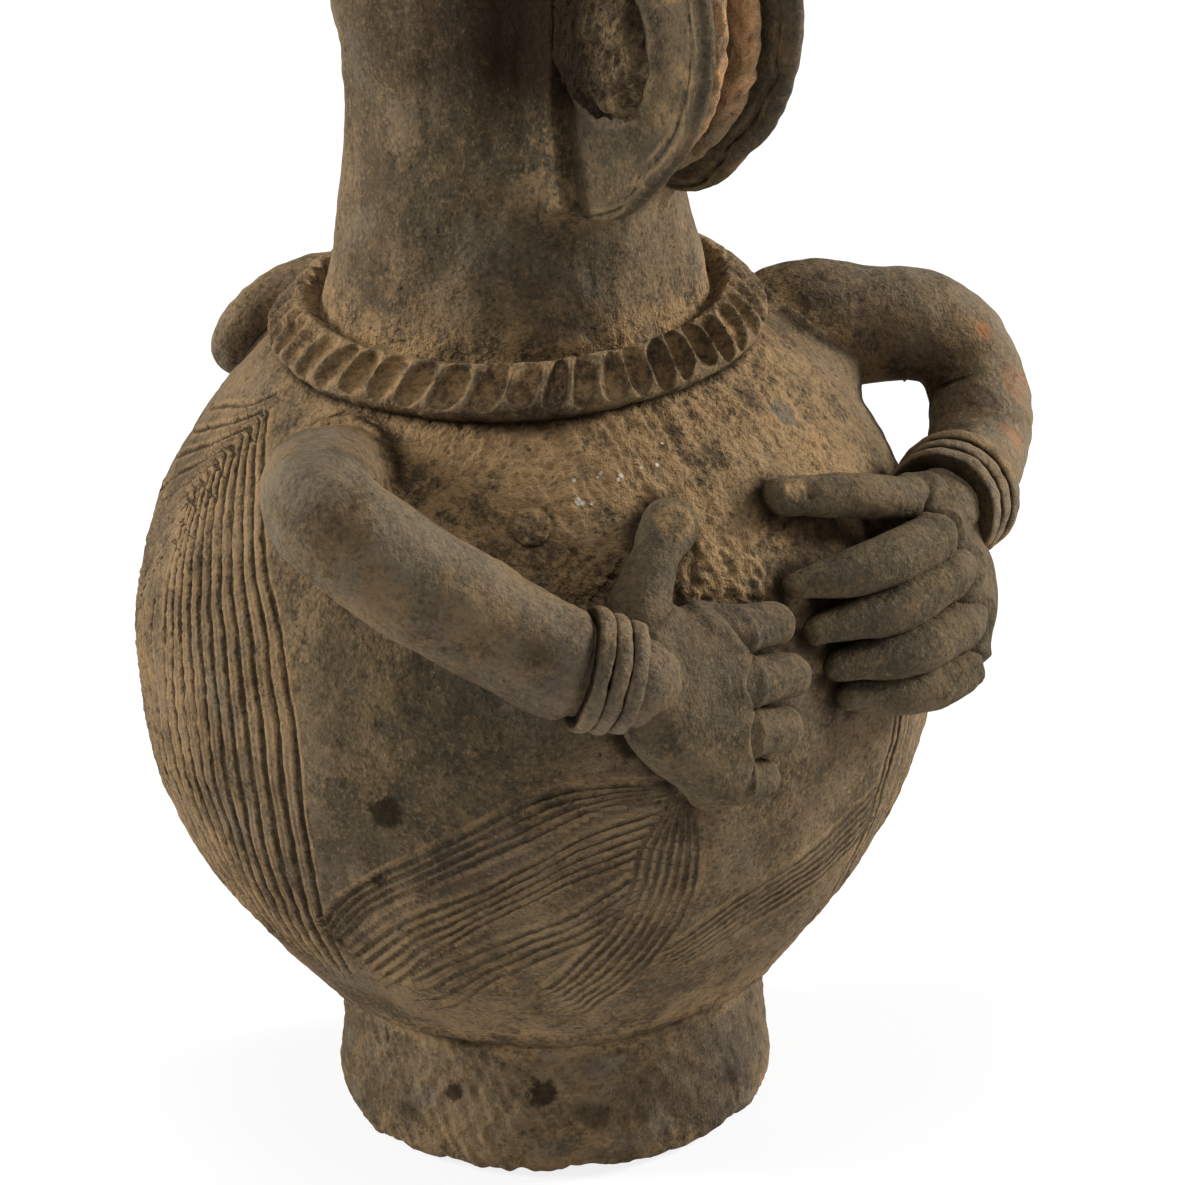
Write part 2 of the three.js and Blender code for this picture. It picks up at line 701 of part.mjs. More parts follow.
function hand(side, arm) {
  const { palm, thumb, fingers } = HANDS[side];
  const armCut = armSpace(arm).add(wristSleeve(arm));
  add(`${side}_palm`, cutBy(pad(palm, 0), BELLY_CUT, armCut), GREY_CLAY);
  let taken = armCut.add(solid(pad(palm, CLEARANCE)));
  const named = Object.entries(fingers).map(([name, path]) => [`${name}_finger`, path]);
  const digits = [['thumb', thumb], ...named];
  for (const [name, path] of digits) {
    const stations = bellyPath(limb(path), HAND_STEPS);
    add(`${side}_${name}`, cutBy(loft(stations, ROLL_SIDES), BELLY_CUT, taken), GREY_CLAY);
    taken = taken.add(solid(loft(grown(stations, CLEARANCE), ROLL_SIDES)));
  }
}

// Jaw: two upright half-round plates beside the middle line, with two lower ridges between them

function jawPlate(radius, thickness, x, edge) {
  const centreForward = NECK_WAIST_RADIUS + JAW_PLATE_SETBACK;
  const shape = new THREE.Shape();
  shape.absarc(0, 0, radius - edge, -Math.PI / 2, Math.PI / 2, false);
  shape.lineTo(-JAW_PLATE_ROOT, radius - edge);
  shape.lineTo(-JAW_PLATE_ROOT, edge - radius);
  const geometry = new THREE.ExtrudeGeometry(shape, {
    depth: thickness - 2 * edge,
    curveSegments: PLATE_SEGMENTS,
    bevelSize: edge,
    bevelThickness: edge,
    bevelSegments: PLATE_EDGE_STEPS,
  });
  geometry.translate(0, 0, edge - thickness / 2);
  const turned = new THREE.Matrix4().makeBasis(
    new THREE.Vector3(0, -1, 0),
    new THREE.Vector3(0, 0, 1),
    new THREE.Vector3(-1, 0, 0),
  );
  geometry.applyMatrix4(turned);
  geometry.translate(x, -centreForward, JAW_HEIGHT);
  return cutBy(cleaned(geometry), NECK_CUT);
}

// Lumps, pellets and the like: a ball of clay stretched along three axes and turned about Z

function lump(at, [x, y, z], turn = 0, tilt = 0) {
  const geometry = new THREE.SphereGeometry(1, LUMP_SIDES, LUMP_BANDS);
  geometry.scale(x, y, z);
  geometry.rotateX(degrees(tilt));
  geometry.rotateZ(degrees(turn));
  geometry.translate(at.x, at.y, at.z);
  return cleaned(geometry);
}

// Assembly

add('foot_ring', footRing(), DUSTY_CLAY);
add('lower_bowl', lowerBowl(), CLAY);
add('shoulder_dome', shoulderDome(), CLAY);
add('neck_tube', neckTube(), CLAY);
add('head_tube', headTube(), CLAY);
add('mouth_rim', mouthRim(), CLAY);
add('necklace_coil', necklaceCoil(), DUSTY_CLAY);

for (const [side, arm] of Object.entries({ left: LEFT_ARM, right: RIGHT_ARM })) {
  add(`${side}_arm`, cutBy(loft(bellyPath(arm, ARM_STEPS), ARM_SIDES), BELLY_CUT), GREY_CLAY);
  hand(side, arm);
  for (let order = 0; order < BRACELET_COUNT; order++) {
    add(`${side}_bracelet_${order + 1}`, bracelet(arm, order), GREY_CLAY);
  }
}

// A side is 1 for the figure's left and -1 for its right

const SIDES = Object.entries({ left: 1, right: -1 });
const plateOutside = (JAW_PLATE_SPACING + JAW_PLATE_THICKNESS) / 2;
const plateReach = 4 * JAW_PLATE_RADIUS;
const plateSpace = new THREE.BoxGeometry(2 * (plateOutside + CLEARANCE), plateReach, plateReach);
plateSpace.translate(0, 0, JAW_HEIGHT);
const PLATE_CUT = solid(cleaned(plateSpace));

for (const [side, way] of SIDES) {
  const plateX = (way * JAW_PLATE_SPACING) / 2;
  const plate = jawPlate(JAW_PLATE_RADIUS, JAW_PLATE_THICKNESS, plateX, JAW_PLATE_EDGE);
  add(`${side}_jaw_plate`, plate, GREY_CLAY);
  const lipRadius = JAW_PLATE_RADIUS - INNER_LIP_INSET;
  const lip = jawPlate(lipRadius, INNER_LIP_THICKNESS, (way * INNER_LIP_SPACING) / 2, INNER_LIP_EDGE);
  add(`${side}_inner_lip`, lip, RED_CLAY);
  const forward = NECK_WAIST_RADIUS + CHEEK_LUMP_FORWARD;
  const at = new THREE.Vector3(way * plateOutside, -forward, SHOULDER_HEIGHT + CHEEK_LUMP_HEIGHT);
  add(`${side}_cheek_lump`, cutBy(lump(at, CHEEK_LUMP_SIZE), NECK_CUT, PLATE_CUT), DUSTY_CLAY);
}

// The nipple is a flat pellet with a bevelled edge, square to the chest

const pellet = new THREE.LatheGeometry([
  [0, -NIPPLE_HEIGHT],
  [NIPPLE_RADIUS, -NIPPLE_HEIGHT],
  [NIPPLE_RADIUS, NIPPLE_HEIGHT - NIPPLE_EDGE],
  [NIPPLE_RADIUS - NIPPLE_EDGE, NIPPLE_HEIGHT],
  [0, NIPPLE_HEIGHT],
].map(([radius, height]) => new THREE.Vector2(radius, height)), LUMP_SIDES);
const nippleAt = onBelly(NIPPLE_AZIMUTH, NIPPLE_LATITUDE, 0);
const chestOut = nippleAt.clone().sub(new THREE.Vector3(0, 0, BELLY_CENTRE)).normalize();
pellet.applyQuaternion(new THREE.Quaternion().setFromUnitVectors(new THREE.Vector3(0, 1, 0), chestOut));
pellet.translate(nippleAt.x, nippleAt.y, nippleAt.z);
add('right_nipple', cutBy(cleaned(pellet), BELLY_CUT), CLAY);

const lugAt = onBelly(LUG_AZIMUTH, LUG_LATITUDE, LUG_STANDOFF);
const lug = lump(lugAt, LUG_SIZE, LUG_AZIMUTH - 180, -LUG_DROOP);
add('rear_lug', cutBy(lug, BELLY_CUT), CLAY);

const faceHeight = JAW_HEIGHT + JAW_PLATE_RADIUS + FACE_RISE;
for (const [side, way] of SIDES) {
  const eye = lump(onHead(way * EYE_AZIMUTH, faceHeight, 0), EYE_SIZE, way * EYE_AZIMUTH);
  add(`${side}_eye`, cutBy(eye, NECK_CUT), CLAY);
  const ear = lump(onHead(way * 90, faceHeight - EAR_DROP, 0), EAR_SIZE);
  add(`${side}_ear`, cutBy(ear, NECK_CUT), CLAY);
}
add('nose', cutBy(lump(onHead(0, faceHeight, 0), NOSE_SIZE), NECK_CUT), CLAY);

export default figure;
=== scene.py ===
"""Looks of a terracotta figure jar: each piece is a numpy surface that stands for a node of the frame."""

import math

import bpy
import numpy as np
from mathutils import Matrix, Vector


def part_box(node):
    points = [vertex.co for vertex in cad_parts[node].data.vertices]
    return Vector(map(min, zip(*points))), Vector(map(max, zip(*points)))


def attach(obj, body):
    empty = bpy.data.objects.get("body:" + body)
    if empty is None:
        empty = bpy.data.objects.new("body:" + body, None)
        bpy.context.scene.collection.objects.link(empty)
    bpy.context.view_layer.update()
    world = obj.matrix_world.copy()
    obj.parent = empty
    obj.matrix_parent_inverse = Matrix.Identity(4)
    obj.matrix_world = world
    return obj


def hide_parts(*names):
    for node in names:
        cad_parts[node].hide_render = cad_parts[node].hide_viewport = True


bl_info = {
    "name": "Terracotta figure jar",
    "version": (1, 0, 0),
    "blender": (4, 5, 0),
    "location": "View3D > Sidebar > Jar",
    "description": "Builds the clay surfaces of a hand-built figure jar round its packed frame",
    "category": "Add Mesh",
}

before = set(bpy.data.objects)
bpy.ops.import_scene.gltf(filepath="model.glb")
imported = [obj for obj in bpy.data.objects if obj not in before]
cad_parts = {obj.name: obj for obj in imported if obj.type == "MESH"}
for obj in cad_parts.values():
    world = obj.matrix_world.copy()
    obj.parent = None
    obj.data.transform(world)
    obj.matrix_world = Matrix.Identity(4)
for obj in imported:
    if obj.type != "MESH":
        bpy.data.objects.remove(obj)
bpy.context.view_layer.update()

# Sizes are millimetres and angles are degrees. Azimuth runs round the jar from its front to its left.

MM = 0.001
FAR = 1e6
SIDES = ("left", "right")


def low_corner(node):
    """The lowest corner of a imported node's box, in millimetres."""
    return np.array(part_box(node)[0]) / MM


def high_corner(node):
    """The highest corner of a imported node's box, in millimetres."""
    return np.array(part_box(node)[1]) / MM


# Sizes read from the frame

BELLY_RADIUS = high_corner("shoulder_dome")[0]
BELLY_CENTRE = high_corner("lower_bowl")[2]
BELLY_MIDDLE = np.array([0, 0, BELLY_CENTRE])
SHOULDER_HEIGHT = high_corner("shoulder_dome")[2]
NECK_BASE_RADIUS = high_corner("neck_tube")[0]
NECK_TOP = high_corner("neck_tube")[2]
HEAD_TOP = high_corner("head_tube")[2]
MOUTH_HEIGHT = high_corner("mouth_rim")[2]
FOOT_TOP_RADIUS = high_corner("foot_ring")[0]
FOOT_TOP = high_corner("foot_ring")[2]

# Sizes that the frame's boxes don't tell, the same as in the part's source

BELLY_WALL = 9.0
LOW_SWELL = 6.0
LOW_SWELL_LATITUDE = -62.0
LOW_SWELL_SPREAD = 15.0
NECK_WALL = 8.5
NECK_WAIST_RADIUS = 45.0
NECK_WAIST_HEIGHT = SHOULDER_HEIGHT + 84.0
HEAD_SWELL = 5.0
HEAD_SWELL_TURNS = 0.62
NOTCH_COUNT = 47
FIRST_NOTCH = -41.5

# Arms, from inside the shoulder to the wrist: azimuth, latitude, standoff from the belly, half width

LEFT_ARM = [
    (77, 43, -12, 19), (73, 40.5, 4, 18), (69.7, 35.2, 15.5, 17.2), (67.4, 31.2, 27, 16.4),
    (65.6, 26.8, 32.1, 15.3), (62.6, 22.2, 30.6, 14.9), (56.5, 19.2, 24, 15), (49, 18.8, 19.4, 13.8),
    (42.5, 19.4, 16.8, 10.4), (34, 20.7, 14.6, 10.4),
]
RIGHT_ARM = [
    (-80, 43, -12, 18), (-75.5, 41, 5, 17), (-70, 37.8, 26, 16.4), (-64.5, 34.2, 39.6, 16.4),
    (-56, 29.8, 28, 16.5), (-48, 26, 20, 16.5), (-39.5, 21.3, 16.4, 16), (-34.8, 19, 15.3, 12.5),
    (-27, 16.6, 14, 12.5),
]
ARMS = {"left": LEFT_ARM, "right": RIGHT_ARM}

# Hands: palm outlines in azimuth and latitude, and the digits as rolls like the arms

LEFT_PALM = {
    "outline": [
        (36, 20), (35, 25), (30, 27.5), (26, 24.5), (24.5, 12), (26, 2), (30, -1), (35, 3), (37, 11),
    ],
    "wrist_height": 26.0,
    "knuckle_height": 21.0,
}
RIGHT_PALM = {
    "outline": [
        (-29, 16.4), (-26.5, 22.5), (-22, 24.2), (-16, 24), (-10.5, 22), (-9.5, 15.5),
        (-10.5, 9), (-11.5, 2), (-13.5, -3), (-18.3, -2.5), (-25, 3.5), (-28.5, 9.5),
    ],
    "wrist_height": 27.0,
    "knuckle_height": 12.5,
}
DIGITS = {
    "left_thumb": [(30, 24, 13, 6.4), (22, 27.2, 13, 6.4), (14, 31, 8.5, 6.4), (6, 34, 4.4, 5.8)],
    "left_index_finger": [
        (29, 19.5, 15, 7), (24, 19.8, 16.8, 7.9), (13, 20.8, 11.4, 7.9), (2.4, 22.4, 2.4, 4.0),
    ],
    "left_middle_finger": [
        (30, 14.8, 16, 7), (26, 14.8, 17.4, 7.8), (16, 14.7, 12.4, 8.0), (4.2, 15.4, 2.4, 4.0),
    ],
    "left_ring_finger": [
        (30, 8.6, 16, 7), (26, 8.2, 17.4, 7.8), (17, 8.4, 12.4, 7.9), (6.8, 9.5, 2.4, 4.0),
    ],
    "left_little_finger": [(29, 2.4, 14, 7), (25, 2, 15.6, 7.5), (18, 2.6, 11, 7.5), (8.6, 4.5, 2.4, 3.8)],
    "right_thumb": [
        (-25.5, 20.5, 8, 11), (-24.2, 25.3, 8.4, 9), (-20.2, 31.2, 7.2, 7.4), (-16.4, 34.9, 5.4, 8.5),
    ],
    "right_index_finger": [(-15, 20.4, 7.4, 6.9), (-10.5, 19.8, 7.8, 6.9), (-4, 18.9, 5.8, 6.3)],
    "right_middle_finger": [(-15, 13.4, 7.4, 6.9), (-10.5, 12.7, 7.8, 6.9), (-3.3, 11.6, 5.8, 6.3)],
    "right_ring_finger": [(-16, 6.6, 7.4, 6.9), (-11.5, 6, 7.8, 6.9), (-5.6, 4.7, 5.8, 6.3)],
    "right_little_finger": [(-16.5, 0.4, 5, 6.9), (-13.5, -0.2, 6.6, 6.9), (-9.6, -1.3, 5.4, 6.1)],
}

# Scratched strokes on the belly, each a few points in azimuth and latitude.
# A fan is a first and a last stroke with a number of strokes between them.

FANS = [
    # Upright grooves behind the right arm
    ([(-106, 47), (-100, 42.7), (-93, 36.5), (-87, 28.6), (-81, 20.9), (-78, 12.8), (-76, 4.3),
      (-76, -13.5), (-79, -38)],
     [(-113, 30), (-112, 25), (-111, 21.3), (-110, 17), (-108, 12), (-107, 8), (-106, 0),
      (-104, -14.1), (-103, -34)], 9),
    ([(-113.5, 14), (-113, 10), (-111, 4), (-108, -8), (-106, -34)],
     [(-150, -4), (-149, -7), (-147, -12), (-145, -20), (-142, -34)], 12),
    # Slanted strokes that meet them
    ([(-109, 50), (-116, 46), (-124, 43), (-134, 39)],
     [(-114, 24), (-118, 18), (-124, 10), (-131, 0)], 7),
    # Leaf of long strokes under the right hand
    ([(-21, -0.2), (-33, 0.9), (-42, -1), (-48, -4.5), (-57, -9.8), (-70, -18.8), (-78, -27)],
     [(-22, -1.2), (-32, -2.2), (-40, -5.5), (-48, -9.5), (-56, -14), (-67, -21.5), (-76, -30)], 2),
    ([(-24, -4.3), (-30, -5.5), (-35, -7.3), (-46, -13.6), (-52, -17), (-62, -23), (-74, -33)],
     [(-27, -11), (-35, -13.6), (-41, -16.7), (-50, -22), (-55, -26), (-60, -30), (-68, -38)], 3),
    ([(-28, -15), (-36, -20.2), (-42, -23.2), (-50, -27), (-57, -31.5), (-64, -36.7)],
     [(-28, -21.1), (-35, -26.2), (-42, -29.6), (-49, -34), (-55, -39.8), (-60, -44)], 2),
    # Bent strokes at the leaf's right edge
    ([(-21, -1), (-24, -6.4), (-26, -10), (-27, -14.9), (-29, -21), (-33, -28), (-40, -37)],
     [(-19, -1.5), (-18, -8), (-17.5, -14), (-18, -20), (-21, -28), (-26, -37), (-33, -45)], 5),
    # Strokes that rise to the left arm's side
    ([(-20, -30.4), (-11, -25.3), (2, -20.5), (12, -17), (18, -15)],
     [(-16, -36), (-6, -31.4), (7, -27.4), (15, -24), (20, -22)], 4),
    # Upright pair beside the left hand, and the grooves beyond it
    ([(22, 3), (22, -4), (20.5, -12), (19, -20), (19, -30), (22, -42)],
     [(24, 3), (24, -4), (22.5, -12), (21.2, -20), (21.5, -30), (25, -42)], 0),
    ([(28, 0), (28, -10), (27, -22), (30, -40)],
     [(62, 4), (62, -10), (60, -24), (58, -40)], 7),
    ([(70, 20), (72, 4), (72, -14), (70, -38)],
     [(150, 30), (148, 8), (145, -14), (142, -38)], 18),
    ([(100, 46), (112, 40), (128, 32)],
     [(104, 31), (118, 30.5), (134, 31)], 4),
]
CROSS_FANS = (1, 2, 6, 8, 10)
THUMB_CUT = [(-24.6, 31.8), (-27, 29.6), (-30.5, 26.6)]
NIPPLE = (-39.0, 38.0)
NIPPLE_RADIUS = 5.5

# Sizes of the notched coil: its section, and the dimples with how much each may differ

NECKLACE_WIDE = 8.0
NECKLACE_THICK = 5.6
NECKLACE_ROWS = 56
SECTION_POWERS = (0.75, 0.55)
DIMPLE_COLUMNS = 18
DIMPLE_HALF = 7.5
DIMPLE_SPAN = 0.93
DIMPLE_DEPTH = 4.0
DIMPLE_POWERS = {"along": 2.4, "across": 2.8, "depth": 0.62}
SWAY = {"degrees": 2.6, "times": 3, "start": 38}

# Sizes of the arms, the hands, the wrists, the jaw and the lug

DECORATED_MIDDLE = -22.0
ARM_FOOT = (27, 33)
ARM_ROOT = 20
ARM_STEPS = 230
ARM_AROUND = 120
PALM_AROUND = 132
PALM_RINGS = (34, 16)
PALM_UNDER = (0.97, 0.6, 0.05)
PALM_DEPTH = -4.5
NAIL_PLACE = 0.93
NAIL_HALF = (0.8, 0.86)
NAIL_HEIGHT = 0.78
NAIL_RIM = {"place": 1.08, "width": 0.12, "height": 0.3}
NO_NAIL = 3.0
CUFF_LENGTH = 15.9
FOREARM_EDGE = 5.0
FOREARMS = {"left": 14.2, "right": 16.2}
BRACELET_AROUND = 150
BRACELET_STEPS = ((1, 1.6), (2, 0.8), (3, 0.0))
BRACELET_FIT = {"left": (6.1, 2.3), "right": (5.2, -0.5)}
BRACELET_CREST = 1.9
BRACELET_ROOM = 1.0
BRACELET_THICK = 3.2
PLATE_AROUND = 300
PLATE_RINGS = 46
PLATE_BEND = 19
PLATE_FIN = 5.0
PLATE_BACK = 24.0
PLATE_EDGE = 3.2
RING_INSET = 5.7
LUMP_GRID = {"rows": 130, "columns": 200}
LUMP_FLAT = 0.3
PELLET_SHRINK = 0.3
LUG_SIZE = (29.6, 22.5, 11.7)
LUG_TURN = -2
LUG_TILT = -60
LUG_FLARE = 7.0

# Outlines of turned pieces: out from the head's wall, or radius, against a share of the height

RIM_OUTLINE = [
    (-8.2, 0.02), (0, 0.02), (4.5, 0.45), (5.3, 0.7), (4, 0.88), (0, 0.985), (-2.5, 0.985),
    (-5.5, 0.85), (-7.5, 0.4),
]
FOOT_OUTLINE = [
    (58, 0.0), (61.4, 0.045), (62.7, 0.16), (62.9, 0.3), (61.9, 0.5), (61.4, 0.68), (61.2, 0.8),
    (61.2, 0.9), (61, 0.98), (58, 1.03), (52.5, 1.03), (50.5, 0.8), (49, 0.6), (50, 0.35),
    (51.7, 0.1), (54, 0.0),
]
NIPPLE_OUTLINE = [
    (0.05, -2.0), (5.2, -2.0), (5.3, 0.0), (5.1, 0.3), (4.5, 0.55), (3.6, 0.6), (1.8, 0.7), (0.1, 0.7),
]

# Marks on the fired clay: azimuth, latitude and radius on the belly, or a place and its radius

SOOT_SPOTS = [(-62, -3, 5.2), (-65, -15.6, 3.0), (-44, -62, 4.6), (-68, -62.5, 3.0), (-91, -58.7, 2.8)]
FOOT_SPOTS = [((-42.7, -43.8, 26.5), 4.6), ((-57, -22.1, 24.7), 3.0), ((-62.4, 3.5, 35.7), 3.0)]
BARE_SPOTS = [(23, 43.9, 5.0)]
DARK_CLOUDS = [(-62, 14, 26), (-60, -4, 22), (-47, 5, 20)]
# Dark spots on the front of the neck: painted shade between its lit sides
NECK_PAINTED_SHADE = [((-35.7, -29.8, 293.6), 24), ((-30, -35, 328), 26), ((-19, -43, 283), 18)]
ARM_IRON = [((122, -75.5, 204.4), 6.0), ((107.6, -88.6, 195.4), 5.0), ((117.8, -65.8, 219.5), 3.0)]
PALE_SPECKS = [
    (-24.8, 44.8, 0.8), (-25.6, 44.4, 0.6), (-30.4, 44.2, 0.6), (-30.2, 41.1, 0.9), (-29.4, 40.8, 0.6),
    (-27.8, 40.5, 0.6), (-20.9, 43.9, 0.8), (-21.8, 43.3, 0.5), (-16.5, 44.5, 0.7), (-13.2, 44.3, 0.5),
    (-10.2, 47.2, 0.5),
]
ROUGH_PATCHES = [(-8, 26, 9.0), (4, 31, 6.0), (-31, 30, 6.0)]


def unit(vectors):
    """Vectors divided by their lengths."""
    return vectors / np.maximum(np.linalg.norm(vectors, axis=-1, keepdims=True), 1e-9)


def closest(gaps):
    """The least of several distances at each point."""
    return np.minimum.reduce(list(gaps))


def full_turn(count):
    """Angles once round, evenly spaced, without the last."""
    return np.linspace(0, 2 * math.pi, count, endpoint=False)


def ease(value, low, high):
    """0 below low, 1 above high, and a smooth S between them: 3 t squared less 2 t cubed."""
    share = np.clip((value - low) / (high - low), 0.0, 1.0)
    return share * share * (3.0 - 2.0 * share)


def lumps(points, size, seed, waves=16):
    """Uneven clay: a sum of cosine waves in chance directions, each about size long, scaled to about 1."""
    chance = np.random.default_rng(seed)
    heading = unit(chance.normal(size=(waves, 3)))
    rate = 2 * math.pi / size * chance.uniform(0.6, 1.5, waves)
    start = chance.uniform(0, 2 * math.pi, waves)
    return np.cos(points @ (heading * rate[:, None]).T + start).sum(-1) / math.sqrt(waves)


def belly_reach(latitude):
    """The belly's radius: a ball with a small swell, a bell curve over latitude, low down."""
    away = (latitude - LOW_SWELL_LATITUDE) / LOW_SWELL_SPREAD
    return BELLY_RADIUS + LOW_SWELL * np.exp(-away * away)


def on_belly(azimuth, latitude, standoff=0.0):
    """Points at an azimuth and latitude, raised off the belly."""
    azimuth, latitude, standoff = np.broadcast_arrays(azimuth, latitude, standoff)
    reach = belly_reach(latitude) + standoff
    turn, rise = np.radians(azimuth), np.radians(latitude)
    flat = reach * np.cos(rise)
    return np.stack([flat * np.sin(turn), -flat * np.cos(turn), BELLY_CENTRE + reach * np.sin(rise)], -1)


def belly_angles(points):
    """Azimuth and latitude of points, seen from the belly's centre."""
    flat = np.hypot(points[..., 0], points[..., 1])
    azimuth = np.degrees(np.arctan2(points[..., 0], -points[..., 1]))
    return azimuth, np.degrees(np.arctan2(points[..., 2] - BELLY_CENTRE, flat))


def above_belly(points):
    """Height of points over the belly's plain form."""
    return np.linalg.norm(points - BELLY_MIDDLE, axis=-1) - belly_reach(belly_angles(points)[1])


def neck_radius(height):
    """Below its waist the neck widens with the square of the depth, and above it swells as a sine."""
    below = np.maximum(NECK_WAIST_HEIGHT - height, 0) / (NECK_WAIST_HEIGHT - SHOULDER_HEIGHT)
    share = np.clip((height - NECK_WAIST_HEIGHT) / (HEAD_TOP - NECK_WAIST_HEIGHT), 0, 1)
    swell = HEAD_SWELL * np.sin(share * math.pi * HEAD_SWELL_TURNS)
    return NECK_WAIST_RADIUS + (NECK_BASE_RADIUS - NECK_WAIST_RADIUS) * below**2 + swell


def smooth_line(points, count):
    """Catmull-Rom: between two points a cubic whose slopes are half the step between their neighbours."""
    points = np.asarray(points, float)
    padded = np.vstack([2 * points[0] - points[1], points, 2 * points[-1] - points[-2]])
    place = np.linspace(0, len(points) - 1, count)
    low = np.minimum(place.astype(int), len(points) - 2)
    t = (place - low)[:, None]
    a, b, c, d = (padded[low + step] for step in range(4))
    return 0.5 * (2 * b + (c - a) * t + (2 * a - 5 * b + 4 * c - d) * t**2 + (3 * b - a - 3 * c + d) * t**3)


def smooth_loop(points, steps):
    """A closed smooth line through points, with a number of steps to each."""
    points = np.asarray(points, float)
    line = smooth_line(np.vstack([points[-2:], points, points[:3]]), steps * (len(points) + 4) + 1)
    return line[2 * steps:(2 + len(points)) * steps]


def roll_line(controls, count):
    """A roll's middle line over the belly as rows of x, y, z and radius."""
    azimuth, latitude, standoff, radius = np.array(controls, float).T
    return smooth_line(np.column_stack([on_belly(azimuth, latitude, standoff), radius]), count)


def off_line(points, line, reach):
    """Distance of points from the skin of a roll: the least over its straight stretches, within reach."""
    flat = points.reshape(-1, 3)
    gap = np.full(len(flat), FAR)
    thick = line[:, 3:]
    low = (line[:, :3] - thick).min(0) - reach
    high = (line[:, :3] + thick).max(0) + reach
    near = np.flatnonzero(((flat > low) & (flat < high)).all(1))
    for start, end in zip(line[:-1], line[1:]):
        span = (end - start)[:3]
        share = np.clip((flat[near] - start[:3]) @ span / (span @ span), 0, 1)
        reached = start[:3] + share[:, None] * span
        skin = np.linalg.norm(flat[near] - reached, axis=1) - start[3] - share * (end - start)[3]
        gap[near] = np.minimum(gap[near], skin)
    return gap.reshape(points.shape[:-1])


def smear(gap, radius, both=False):
    """Height of clay smeared into a corner: a quarter circle of the radius, falling away inside the piece.

    Where both surfaces are smeared, each keeps to its own side of the corner's 45 degree line.
    """
    reach = 1 - math.sqrt(0.5) if both else 0.07
    inside = np.clip(radius - gap, 0, radius * (1 - reach))
    height = radius - np.sqrt(radius**2 - inside**2)
    corner = reach * radius
    if both:
        return np.where(gap < corner, np.maximum(2 * corner - np.abs(gap), 0), height)
    return np.where(gap < corner, height * np.clip(1 + gap / radius, 0, 1), height)


ROLLS = {side + "_arm": roll_line(ARMS[side], 90) for side in SIDES}
ROLLS.update({name: roll_line(controls, 36) for name, controls in DIGITS.items()})


class Pad:
    """A palm: a pad of clay on the belly whose outline is a closed smooth line in azimuth and latitude."""

    def __init__(self, outline, wrist_height, knuckle_height):
        self.edge = smooth_loop(outline, 16)
        self.centre = self.edge.mean(0)
        self.wrist = outline[0][0]
        self.knuckle = self.edge[np.abs(self.edge[:, 0]).argmin()][0]
        self.heights = (wrist_height, knuckle_height)
        around = self.edge - self.centre
        order = np.argsort(np.arctan2(around[:, 1], around[:, 0]))
        self.angles = np.arctan2(around[:, 1], around[:, 0])[order]
        self.spans = np.hypot(around[:, 0], around[:, 1])[order]

    def share(self, azimuth, latitude):
        """How far out a place is: 0 at the middle and 1 on the outline."""
        step = np.stack([azimuth - self.centre[0], latitude - self.centre[1]], -1)
        turn = np.arctan2(step[..., 1], step[..., 0])
        span = np.interp(turn, self.angles, self.spans, period=2 * math.pi)
        return np.hypot(step[..., 0], step[..., 1]) / span, span

    def height(self, azimuth, share):
        """The pad's height: a slope from wrist to knuckles, times a dome with steep sides."""
        along = np.clip((azimuth - self.wrist) / (self.knuckle - self.wrist), 0, 1)
        middle = self.heights[0] + (self.heights[1] - self.heights[0]) * along
        return middle * np.maximum(1 - np.clip(share, 0, 1) ** 4.5, 0) ** 0.45

    def off(self, points):
        """Distance of points on the belly from the outline."""
        azimuth, latitude = belly_angles(points)
        share, span = self.share(azimuth, latitude)
        return (share - 1) * np.radians(span) * BELLY_RADIUS


PADS = {"left_palm": Pad(**LEFT_PALM), "right_palm": Pad(**RIGHT_PALM)}


def single_strokes():
    """The cut beside the thumb and the ring round the nipple: their points, and how faint each is."""
    cut = smooth_line(THUMB_CUT, 20)
    ring = np.radians(np.linspace(0, 360, 40))
    circle = 1.12 * NIPPLE_RADIUS / np.radians(BELLY_RADIUS)
    around = on_belly(NIPPLE[0] + circle * np.cos(ring) / math.cos(math.radians(NIPPLE[1])),
                      NIPPLE[1] + circle * np.sin(ring))
    return [(on_belly(cut[:, 0], cut[:, 1]), 0.0), (around, 0.55)]


SINGLE_STROKES = single_strokes()
STROKE_REACH = 4.0
RULINGS = 150
NO_PITCH = 90.0


def off_strokes(points):
    """Distance of points from the nearest single stroke, up to the stroke's reach."""
    gap = np.full(points.shape[:-1], STROKE_REACH)
    for line, faint in SINGLE_STROKES:
        thin = np.column_stack([line, np.zeros(len(line))])
        gap = np.minimum(gap, np.maximum(off_line(points, thin, STROKE_REACH), 0) + faint)
    return gap


